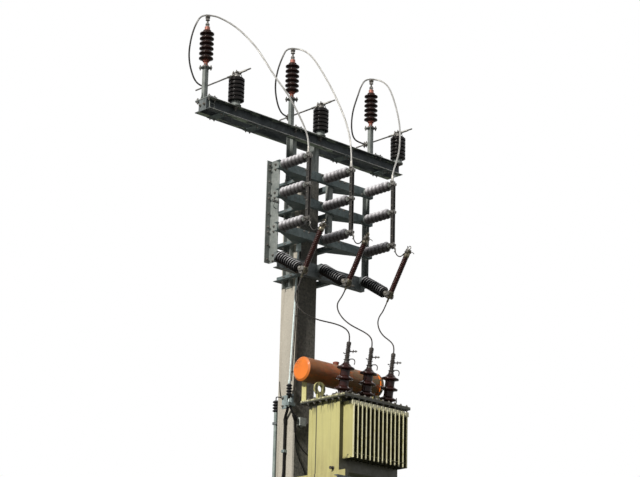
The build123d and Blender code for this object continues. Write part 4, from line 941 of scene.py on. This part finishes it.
# Battens, painted highlight lines along the flange edges, and bolts of the crossarm
def crossarm_fittings():
    batten = plate((0.110, 0.258, 0.006), (0, 0, 0), 0.001)
    places = [Matrix.Translation((x, 0, 9.3817)) for x in batten_xs]
    kept(copies(batten, places), "crossarm_battens", shaded_zinc_plate)
    places = []
    for x in batten_xs:
        places += spread(down, (x - 0.030, x + 0.030), (-0.100, 0.100), (9.3787,))
    bolts("batten_bolts", hex_bolt(0.022, 0.012, shank=0.010), places)
    highlight_lines = []
    for y in (-0.1312, 0.1312):
        for z in (9.3900, 9.5208):
            highlight_lines.append(bent_rod([(x, y, z) for x in (-1.548, 0.0, 1.548)], 0.0035, smooth=False, sides=1))
    kept(joined(highlight_lines), "crossarm_edge_highlights", painted_highlight_edge)
    hoops = []
    for x in (-1.508, -1.440):
        hoops.append(bent_rod([(x, -0.069, 9.520), (x, -0.072, 9.500), (x, -0.074, 9.470), (x, -0.074, 9.430),
                               (x, -0.072, 9.402), (x, -0.069, 9.392)], 0.006))
    hoops.append(bent_rod([(-1.508, -0.071, 9.470), (-1.474, -0.078, 9.470), (-1.440, -0.071, 9.470)], 0.005))
    kept(joined(hoops), "crossarm_end_u_bolt", zinc_pale)


# Contacts of the switch: springs, pins, spacers, terminal bolts, caps, hooks and blade edges
def switch_contact_fittings():
    springs, pins, spacers = [], [], []
    for x in phase_xs:
        for side in (-1, 1):
            for z in levels:
                leaf = plate((0.004, 0.060, 0.046), (x + side * 0.0185, -0.838, z), 0.001)
                chosen(leaf, "VERT", lambda v: v.co.y < -0.860)
                bpy.ops.transform.translate(value=(side * 0.007, -0.006, 0))
                bpy.ops.transform.resize(value=(1, 1, 0.62))
                bpy.ops.object.mode_set(mode="OBJECT")
                springs.append(leaf)
            pins += spread(outward(side), (x + side * 0.0205,), (-0.838,), levels)
            spacers += spread(outward(side), (x + side * 0.016,), (blade_y,), spacer_levels)
    kept(joined(springs), "contact_springs", contact_steel)
    bolts("contact_pins", hex_bolt(0.026, 0.013, shank=0.012), pins, contact_steel)
    bolts("blade_spacer_bolts", hex_bolt(0.015, 0.008, washer=0.002), spacers)

    places = spread(right, phase_xs, (blade_y,), spacer_levels)
    tubes = turned_row([(0.009, -0.010), (0.009, 0.010)], 8, places)
    kept(joined(tubes), "blade_spacers", contact_steel)

    places = []
    for x in phase_xs:
        for z in levels:
            places += spread(front, (x - 0.021, x + 0.021), (-0.7995,), (z - 0.021, z + 0.021))
            places.append(aimed((x, -0.871, z - 0.018), front))
        places += spread(up, (x - 0.013, x + 0.013), (-0.8165,), (8.912,))
    bolts("terminal_bolts", hex_bolt(0.013, 0.009, washer=0.0015, shank=0.005), places)

    flanges = turned_row([(0.034, 0.0), (0.034, 0.008), (0.030, 0.0105)], 24,
                         spread(front, phase_xs, (-0.789,), levels))
    flanges += turned_row([(0.0335, 0.0), (0.0345, 0.004), (0.0345, 0.022), (0.0325, 0.027)], 24,
                          spread(front, phase_xs, (-0.755,), levels))
    kept(joined(flanges), "switch_insulator_caps", zinc_pale)

    hooks, strips = [], []
    for x in phase_xs:
        hooks.append(bent_rod([(x - 0.005, -0.862, 8.105), (x - 0.010, -0.895, 8.092),
                               (x - 0.012, -0.908, 8.060), (x - 0.008, -0.890, 8.036),
                               (x, -0.872, 8.044)], 0.0055))
        for side in (-1, 1):
            strips.append(plate((0.004, 0.007, 0.790), (x + side * 0.0175, -0.8605, 8.490), 0.001))
    kept(joined(hooks), "blade_hooks", contact_steel)
    kept(joined(strips), "blade_bright_edges", dark_stem)


# Rounded sheds of the switch, the fuses and the high voltage bushings
thin_lobe = ((0.0, 0.0), (0.22, 0.25), (0.38, 0.94), (0.48, 1.0), (0.58, 0.90), (0.76, 0.22))
fine_rib = ((0.0, 0.0), (0.25, 0.8), (0.5, 1.0), (0.75, 0.8))
round_lobe = ((0.0, 0.0), (0.14, 0.52), (0.27, 0.90), (0.42, 1.0), (0.58, 0.93), (0.74, 0.60), (0.88, 0.14))
dished_disc = ((0.0, 0.0), (0.30, 0.03), (0.36, 0.34), (0.39, 0.76), (0.42, 0.96), (0.46, 1.0), (0.55, 1.0),
               (0.59, 0.93), (0.63, 0.68), (0.69, 0.28), (0.78, 0.05))


def row_of_sheds(core, rim, pitch, count, start, shape, end=None, sides=28):
    profile = []
    for i in range(count):
        for share, out in shape:
            profile.append((core + (rim - core) * out, start + pitch * (i + share)))
    profile.append((end or core, start + pitch * count))
    return turned_on_lathe(profile, sides)


def rounded_insulators():
    lobes = row_of_sheds(0.034, 0.061, 0.061, 6, 0.016, round_lobe)
    places = spread(front, phase_xs, (beam_face_y,), levels)
    piece = kept(copies(lobes, places), "rounded_switch_insulators", switch_glaze)
    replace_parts(piece, "switch_insulators")

    lobes = row_of_sheds(0.044, 0.067, 0.0384, 10, 0.022, thin_lobe)
    places = [aimed(fuse_seat + Vector((x, 0, 0)), fuse_out) for x in phase_xs]
    piece = kept(copies(lobes, places), "rounded_fuse_insulators", ribbed_glaze)
    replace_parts(piece, "fuse_insulators")

    ribs = row_of_sheds(0.0275, 0.0325, 0.020, 24, 0.028, fine_rib, sides=20)
    places = [aimed(fuse_tip + Vector((x, 0, 0)), fuse_along) for x in phase_xs]
    piece = kept(copies(ribs, places), "ribbed_fuse_tubes", fuse_glaze)
    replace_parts(piece, "fuse_tubes")

    discs = row_of_sheds(0.052, 0.096, 0.114, 3, 0.034, dished_disc, end=0.030, sides=36)
    axis = (0, -sin(bushing_lean), cos(bushing_lean))
    places = [aimed((x, bushing_y, cover_top), axis) for x in bushing_xs]
    piece = kept(copies(discs, places), "dished_bushings", bushing_glaze)
    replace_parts(piece, "bushings")


# Fuses: ferrules, hinge castings, rings and arcing horns
fuse_lean = radians(31.5)
fuse_along = Vector((0, -sin(fuse_lean), cos(fuse_lean)))
fuse_out = Vector((0, -cos(fuse_lean), -sin(fuse_lean)))


def fuse_spot(x, along, out=0.0, side=0.0):
    return fuse_tip + Vector((x + side, 0, 0)) + fuse_along * along + fuse_out * out


def fuse_frame(x, along, out=0.0, side=0.0):
    """A place on a fuse, its X kept, its Z along the fuse."""
    turn = Matrix(((1, 0, 0), tuple(-fuse_out), tuple(fuse_along))).transposed().to_4x4()
    return Matrix.Translation(fuse_spot(x, along, out, side)) @ turn


def fuse_fittings():
    ferrules, sides, hinges, rings, horns, lugs = [], [], [], [], [], []
    for x in phase_xs:
        ferrules += turned_row([(0.0325, 0.0), (0.0335, 0.004), (0.0335, 0.022), (0.031, 0.028)], 24,
                               [fuse_frame(x, 0.026)])
        ferrules += turned_row([(0.031, 0.0), (0.0335, 0.006), (0.0335, 0.028), (0.030, 0.034),
                                (0.024, 0.062), (0.018, 0.068)], 24, [fuse_frame(x, 0.478)])
        for side in (-1, 1):
            cheek = plate((0.006, 0.052, 0.084), (0, 0, 0), 0.0015)
            sides.append(placed(cheek, fuse_frame(x, 0.004, -0.012, side * 0.0312)))
            cheek = plate((0.005, 0.036, 0.052), (0, 0, 0), 0.0015)
            sides.append(placed(cheek, fuse_frame(x, 0.548, -0.002, side * 0.0266)))
            hinges.append(aimed(fuse_spot(x, 0.006, 0.004, side * 0.0342), (side, 0, 0)))
            hinges.append(aimed(fuse_spot(x, -0.012, -0.026, side * 0.0342), (side, 0, 0)))
            hinges.append(aimed(fuse_spot(x, 0.540, 0.0, side * 0.0291), (side, 0, 0)))
        ring_points = []
        for i in range(9):
            a = 2 * pi * i / 8 + pi
            ring_points.append(tuple(fuse_spot(x, 0.596 + 0.020 * cos(a), 0.020 * sin(a))))
        rings.append(bent_rod(ring_points, 0.0045))
        horns.append(bent_rod([fuse_spot(x, 0.552, 0.022), fuse_spot(x, 0.560, 0.050, 0.012),
                               fuse_spot(x, 0.560, 0.066, 0.024), fuse_spot(x, 0.550, 0.074, 0.032)], 0.004))
        horns.append(bent_rod([fuse_spot(x, 0.560, -0.020), fuse_spot(x, 0.588, -0.034, -0.006),
                               fuse_spot(x, 0.604, -0.030, -0.010)], 0.0045))
        horns.append(bent_rod([fuse_spot(x, -0.020, 0.024), fuse_spot(x, -0.030, 0.044),
                               fuse_spot(x, -0.020, 0.062), fuse_spot(x, 0.004, 0.068)], 0.005))
        lugs += turned_row([(0.0115, 0.0), (0.0115, 0.046), (0.0095, 0.052)], 14,
                           [aimed(fuse_spot(x, -0.027), -fuse_along)])
    kept(joined(ferrules), "fuse_ferrules", bronze)
    kept(joined(sides), "fuse_cheeks", contact_steel)
    bolts("fuse_hinge_bolts", hex_bolt(0.020, 0.011, shank=0.008), hinges)
    kept(joined(rings), "fuse_pull_rings", bronze)
    kept(joined(horns), "fuse_arcing_horns", dark_stem)
    kept(joined(lugs), "fuse_lead_lugs", bronze)

    caps, links = [], []
    for x in phase_xs:
        caps += turned_row([(0.0295, 0.0), (0.0310, 0.005), (0.0310, 0.026), (0.0295, 0.031)], 20,
                           [aimed(fuse_seat + Vector((x, 0, 0)) + fuse_out * 0.410, fuse_out)])
        links.append(bent_rod([(x, -0.866, 8.132), (x, -0.876, 8.085), (x, -0.896, 8.020), (x, -0.935, 7.975),
                               fuse_spot(x, 0.462, -0.072), fuse_spot(x, 0.512, -0.050),
                               fuse_spot(x, 0.530, -0.020)], 0.0065))
    kept(joined(caps), "fuse_insulator_end_caps", contact_steel)
    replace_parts(kept(joined(links), "curved_fuse_links", blade_copper), "fuse_links")


# Terminals, horns and nuts of the high and low voltage bushings
bushing_lean = radians(9.0)


def bushing_spot(x, along, side=0.0, front_by=0.0):
    return Vector((x + side, bushing_y - along * sin(bushing_lean) - front_by,
                   cover_top + along * cos(bushing_lean)))


def bushing_terminal_stacks():
    axis = (0, -sin(bushing_lean), cos(bushing_lean))
    stacks, nuts, horns, studs = [], [], [], []
    for x in bushing_xs:
        stack = turned_on_lathe([(0.031, 0.374), (0.031, 0.386), (0.027, 0.392), (0.027, 0.404),
                                 (0.036, 0.405), (0.036, 0.411), (0.0185, 0.413), (0.0185, 0.452),
                                 (0.031, 0.453), (0.031, 0.459), (0.0185, 0.460), (0.0185, 0.510),
                                 (0.027, 0.511), (0.027, 0.518), (0.0185, 0.520), (0.0185, 0.566),
                                 (0.025, 0.568), (0.025, 0.600), (0.013, 0.6075)], 16)
        stacks.append(placed(stack, aimed((x, bushing_y, cover_top), axis)))
        for along in (0.414, 0.434, 0.470, 0.490, 0.524, 0.548):
            nuts.append(aimed(bushing_spot(x, along), axis))
        arm = bushing_spot(x, 0.500)
        horns.append(bent_rod([arm, arm + Vector((0.030, -0.028, 0.0)),
                               arm + Vector((0.062, -0.058, 0.003))], 0.0065))
        horns.append(bent_rod([arm + Vector((0.040, -0.037, -0.016)), arm + Vector((0.042, -0.039, 0.0)),
                               arm + Vector((0.044, -0.041, 0.018))], 0.0055))
        studs.append(aimed(arm + Vector((0.058, -0.054, 0.003)), (0.73, -0.68, 0.0)))
        hook = bushing_spot(x, 0.412)
        horns.append(bent_rod([hook, hook + Vector((0.030, -0.028, 0.006)),
                               hook + Vector((0.050, -0.046, 0.008)),
                               hook + Vector((0.062, -0.058, -0.006)),
                               hook + Vector((0.064, -0.060, -0.034)),
                               hook + Vector((0.058, -0.054, -0.056))], 0.0055))
        back = bushing_spot(x, 0.470)
        horns.append(bent_rod([back, back + Vector((-0.020, 0.018, 0.004)),
                               back + Vector((-0.034, 0.032, 0.016))], 0.0055))
        foot = bushing_spot(x, 0.040, 0.062, 0.058)
        horns.append(bent_rod([foot, foot + Vector((0.010, -0.009, 0.006)),
                               foot + Vector((0.013, -0.012, 0.030)),
                               foot + Vector((0.011, -0.010, 0.070))], 0.0055))
    kept(joined(stacks), "bushing_terminal_stacks", dark_stem)
    bolts("bushing_terminal_nuts", hex_bolt(0.040, 0.014, washer=0.003), nuts, dark_stem)
    kept(joined(horns), "bushing_arcing_horns", dark_stem)
    bolts("bushing_horn_nuts", hex_bolt(0.020, 0.012, shank=0.008), studs, contact_steel)

    places, flags = [], []
    for x in (-0.255, -0.085, 0.085, 0.255):
        places.append(aimed((x, -0.930, 6.2025), up))
        flags.append(plate((0.036, 0.050, 0.006), (x, -0.915, 6.2105), 0.0015))
    kept(joined(flags), "low_voltage_flags", contact_steel)
    bolts("low_voltage_nuts", hex_bolt(0.026, 0.012, shank=0.004), places, contact_steel)


# Filler, gauge, relay pipe, valve, cover pocket, fin rods and weld beads of the tank and the conservator
def oil_fittings():
    filler = turned_on_lathe([(0.030, 0.0), (0.030, 0.022), (0.036, 0.024), (0.036, 0.036), (0.024, 0.042),
                              (0.010, 0.044)], 20)
    placed(filler, Matrix.Translation((-0.055, drum_y, 6.594)))
    kept(filler, "conservator_filler", red_primer)

    pipe = bent_rod([(0.180, drum_y, 6.340), (0.180, drum_y, 6.280), (0.180, -0.712, 6.250),
                     (0.180, -0.742, 6.236), (0.180, -0.800, 6.230), (0.180, -0.830, 6.220),
                     (0.180, -0.838, 6.190), (0.180, -0.838, 6.125)], 0.017, sides=4)
    kept(pipe, "conservator_pipe", green_paint)
    flanges = turned_row([(0.036, 0.0), (0.036, 0.012), (0.022, 0.014), (0.022, 0.024)], 20,
                         [aimed((0.180, drum_y, 6.318), up), aimed((0.180, -0.838, 6.125), up)])
    flanges += turned_row([(0.024, 0.0), (0.034, 0.004), (0.034, 0.046), (0.024, 0.050)], 20,
                          [aimed((0.180, -0.755, 6.2345), front)])
    kept(joined(flanges), "conservator_pipe_flanges", cover_paint)

    gauge = [turned_on_lathe([(0.052, 0.0), (0.052, 0.010), (0.046, 0.014)], 24),
             turned_on_lathe([(0.022, 0.0), (0.022, 0.018), (0.016, 0.020)], 20)]
    gauge = [placed(disc, aimed((0.578, drum_y, drum_z), right)) for disc in gauge]
    kept(joined(gauge), "conservator_gauge", contact_steel)

    valve = turned_on_lathe([(0.020, 0.0), (0.020, 0.008), (0.012, 0.010), (0.012, 0.030), (0.017, 0.031),
                             (0.017, 0.044)], 14)
    placed(valve, aimed((-0.440, -1.096, 5.345), left))
    kept(valve, "tank_drain_valve", dark_stem)

    thermometer = turned_on_lathe([(0.024, 0.0), (0.024, 0.020), (0.012, 0.022), (0.012, 0.060),
                                   (0.030, 0.062), (0.030, 0.086)], 18)
    placed(thermometer, Matrix.Translation((-0.300, -0.760, cover_top)))
    kept(thermometer, "cover_pocket", cover_paint)

    rods = []
    for z in (5.490, 6.000):
        rods.append(bent_rod([(-0.385, -1.330, z), (0.0255, -1.330, z), (0.436, -1.330, z)], 0.005,
                             smooth=False, sides=1))
    kept(joined(rods), "fin_tie_rods", green_paint)

    # Beads along the fins' front edges, which fin_paint gives its painted highlight.
    edges = []
    for i in range(13):
        x = -0.380 + 0.0625 * i + 0.001
        edges.append(bent_rod([(x, -1.3415, z) for z in (5.440, 5.740, 6.030)], 0.0055, smooth=False,
                              sides=1))
    kept(joined(edges), "fin_front_beads", fin_paint)

    beads = []
    for x in (-0.4405, 0.4405):
        for y, radius in ((-0.758, 0.0035), (-1.184, 0.0030)):
            beads.append(bent_rod([(x, y, z) for z in (5.318, 5.700, 6.056)], radius, smooth=False, sides=1))
    kept(joined(beads), "tank_edge_welds", green_paint)


# Cables and wires on the pole, with the guide plate's bolts and the junction box's lid
def pole_cables():
    tails = [
        bent_rod([(-0.235, -0.142, 6.312), (-0.236, -0.140, 6.270), (-0.222, -0.120, 6.220),
                  (-0.200, -0.085, 6.160), (-0.186, -0.045, 6.110), (-0.177, -0.022, 6.070),
                  (-0.1725, -0.020, 6.030), (-0.1725, -0.020, 5.990)], 0.0165, sides=4),
        bent_rod([(-0.228, -0.140, 6.300), (-0.232, -0.134, 6.240), (-0.214, -0.150, 6.170),
                  (-0.188, -0.172, 6.100), (-0.160, -0.172, 6.030), (-0.150, -0.163, 5.970),
                  (-0.140, -0.158, 5.900)], 0.0130, sides=4),
    ]
    kept(joined(tails), "pole_cable_tails", cable_black)
    boots = []
    for spot, axis in (((-0.1725, -0.020, 6.075), (0.1, 0.0, -1.0)),
                       ((-0.186, -0.170, 6.100), (0.5, -0.05, -1.0))):
        boot = turned_on_lathe([(0.0175, 0.0), (0.022, 0.008), (0.022, 0.060), (0.018, 0.072)], 16)
        boots.append(placed(boot, aimed(spot, axis)))
    kept(joined(boots), "pole_cable_boots", cable_black)
    wires = [
        bent_rod([(-0.140, -0.158, 5.905), (-0.128, -0.1495, 5.870), (-0.080, -0.1495, 5.780),
                  (0.010, -0.1495, 5.700), (0.110, -0.1495, 5.660)], 0.0045),
        bent_rod([(-0.138, -0.152, 5.900), (-0.125, -0.1490, 5.740), (-0.070, -0.1490, 5.620),
                  (0.000, -0.1490, 5.520), (0.050, -0.1490, 5.430), (0.070, -0.1490, 5.300)], 0.0045),
    ]
    kept(joined(wires), "pole_face_wires", cable_black)
    links = [
        bent_rod([(-0.158, 0.075, 6.330), (-0.150, 0.150, 6.350), (-0.138, 0.186, 6.350),
                  (-0.129, 0.190, 6.322)], 0.0060),
        bent_rod([(-0.160, 0.050, 6.300), (-0.164, 0.085, 6.350), (-0.156, 0.104, 6.440),
                  (-0.154, 0.112, 6.520)], 0.0050),
    ]
    kept(joined(links), "pipe_head_wires", cable_black)
    places = spread(left, (-0.1585,), (-0.100, 0.040), (6.225, 6.318))
    bolts("guide_plate_bolts", hex_bolt(0.022, 0.012, shank=0.010), places)

    lid = plate((0.096, 0.004, 0.092), (-0.060, -0.1945, 6.030), 0.001)
    catch = plate((0.018, 0.010, 0.030), (-0.007, -0.170, 6.050), 0.002)
    gland = turned_on_lathe([(0.014, 0.0), (0.014, 0.016), (0.010, 0.020)], 12)
    placed(gland, aimed((-0.060, -0.168, 5.987), down))
    kept(joined([lid, catch, gland]), "junction_box_lid", grey_paint)
    clip = [bent_rod([(-0.010, -0.150, 6.060), (0.028, -0.156, 6.064), (0.040, -0.156, 6.040),
                      (0.022, -0.152, 6.010), (0.004, -0.149, 6.020)], 0.004)]
    kept(joined(clip), "junction_box_clip", clamp_alloy)


# The latch bracket on the left rail, and the operating rod's long run with the dark wire beside it that stands
# in for its shadow
def rail_and_rod_fittings():
    shelf = plate((0.110, 0.005, 0.034), (-0.715, -0.3525, 8.430), 0.001)
    arm = bent_rod([(-0.735, -0.354, 8.414), (-0.752, -0.354, 8.380), (-0.735, -0.354, 8.350),
                    (-0.700, -0.354, 8.346)], 0.006)
    kept(joined([shelf, arm]), "left_rail_latch", zinc_pale)
    places = spread(front, (-0.695, -0.745), (-0.355,), (8.430,))
    bolts("left_rail_latch_bolts", hex_bolt(0.018, 0.010), places)

    # The rod's long run from its sleeve down to its insulator, wider at its lower end
    top, low = Vector((-0.172, -0.173, 8.200)), Vector((-0.235, -0.142, 6.440))
    run = (low - top).normalized()
    reach = (low - top).length
    shaft = turned_on_lathe([(0.0115, 0.170), (0.012, 0.176), (0.012, reach - 0.045), (0.017, reach - 0.042),
                             (0.017, reach - 0.006), (0.015, reach - 0.001)], 16)
    placed(shaft, aimed(top, run))
    kept(shaft, "operating_rod_run", rod_paint)

    # The dark wire down beside the rod, which stands in for the rod's shadow line, and the bands that tie it
    # there
    aside = Vector((0.017, -0.014, 0.0))
    shadow_line_wire = bent_rod([low.lerp(top, t) + aside for t in (0.02, 0.5, 0.97)], 0.006, smooth=False)
    bands = []
    for t in (0.08, 0.45, 0.80, 0.94):
        band = plate((0.050, 0.008, 0.014), (0, 0, 0), 0.0015)
        spot = Matrix.Translation(low.lerp(top, t) + aside * 0.5)
        bands.append(placed(band, spot @ Matrix.Rotation(radians(-40), 4, "Z")))
    kept(joined([shadow_line_wire] + bands), "rod_shadow_line_wire", cable_black)


def staged_floor_and_light():
    lay_tools_down()
    bpy.ops.mesh.primitive_plane_add(size=120.0, location=(0, 0, 0))
    floor = bpy.context.object
    floor.name = "pale_floor"
    f = Finish("pale_floor", roughness=0.9)
    tone = f.mix(f.noise(0.4, 3.0, 0.5), (0.78, 0.78, 0.77), (0.74, 0.74, 0.735))
    seen = f.add("ShaderNodeLightPath").outputs["Is Camera Ray"]
    f.colour(f.mix(seen, (0.17, 0.175, 0.155), tone))
    floor.data.materials.append(f.material)

    world = bpy.data.worlds.new("white_studio")
    bpy.context.scene.world = world
    world.use_nodes = True
    tree = world.node_tree
    tree.nodes.clear()
    out = tree.nodes.new("ShaderNodeOutputWorld")
    seen = tree.nodes.new("ShaderNodeBackground")
    seen.inputs["Color"].default_value = (1.0, 1.0, 1.0, 1.0)
    seen.inputs["Strength"].default_value = 1.0
    light = tree.nodes.new("ShaderNodeBackground")
    light.inputs["Color"].default_value = (0.86, 0.93, 1.0, 1.0)
    light.inputs["Strength"].default_value = 0.12
    path = tree.nodes.new("ShaderNodeLightPath")
    mix = tree.nodes.new("ShaderNodeMixShader")
    clear = path.outputs["Is Camera Ray"]
    for ray in ("Is Glossy Ray", "Is Transmission Ray"):
        either = tree.nodes.new("ShaderNodeMath")
        either.operation = "MAXIMUM"
        tree.links.new(clear, either.inputs[0])
        tree.links.new(path.outputs[ray], either.inputs[1])
        clear = either.outputs["Value"]
    tree.links.new(clear, mix.inputs["Fac"])
    tree.links.new(light.outputs["Background"], mix.inputs[1])
    tree.links.new(seen.outputs["Background"], mix.inputs[2])
    tree.links.new(mix.outputs["Shader"], out.inputs["Surface"])

    key = bpy.data.objects.new("key_light", bpy.data.lights.new("key_light", "SUN"))
    key.data.energy = 3.5
    key.data.angle = radians(6.0)
    key.data.color = (1.0, 0.965, 0.9)
    key.matrix_world = aimed((-6, -2, 14), (-1.0, -0.14, 0.66))
    bpy.context.scene.collection.objects.link(key)


steelwork_bolts()
transformer_bolts()
conductor_clamps()
jumper_post_fittings()
tap_and_end_fittings()
crossarm_fittings()
switch_contact_fittings()
fuse_fittings()
bushing_terminal_stacks()
oil_fittings()
pole_cables()
rail_and_rod_fittings()
rounded_insulators()
staged_floor_and_light()
bpy.context.scene.view_settings.view_transform = "Standard"
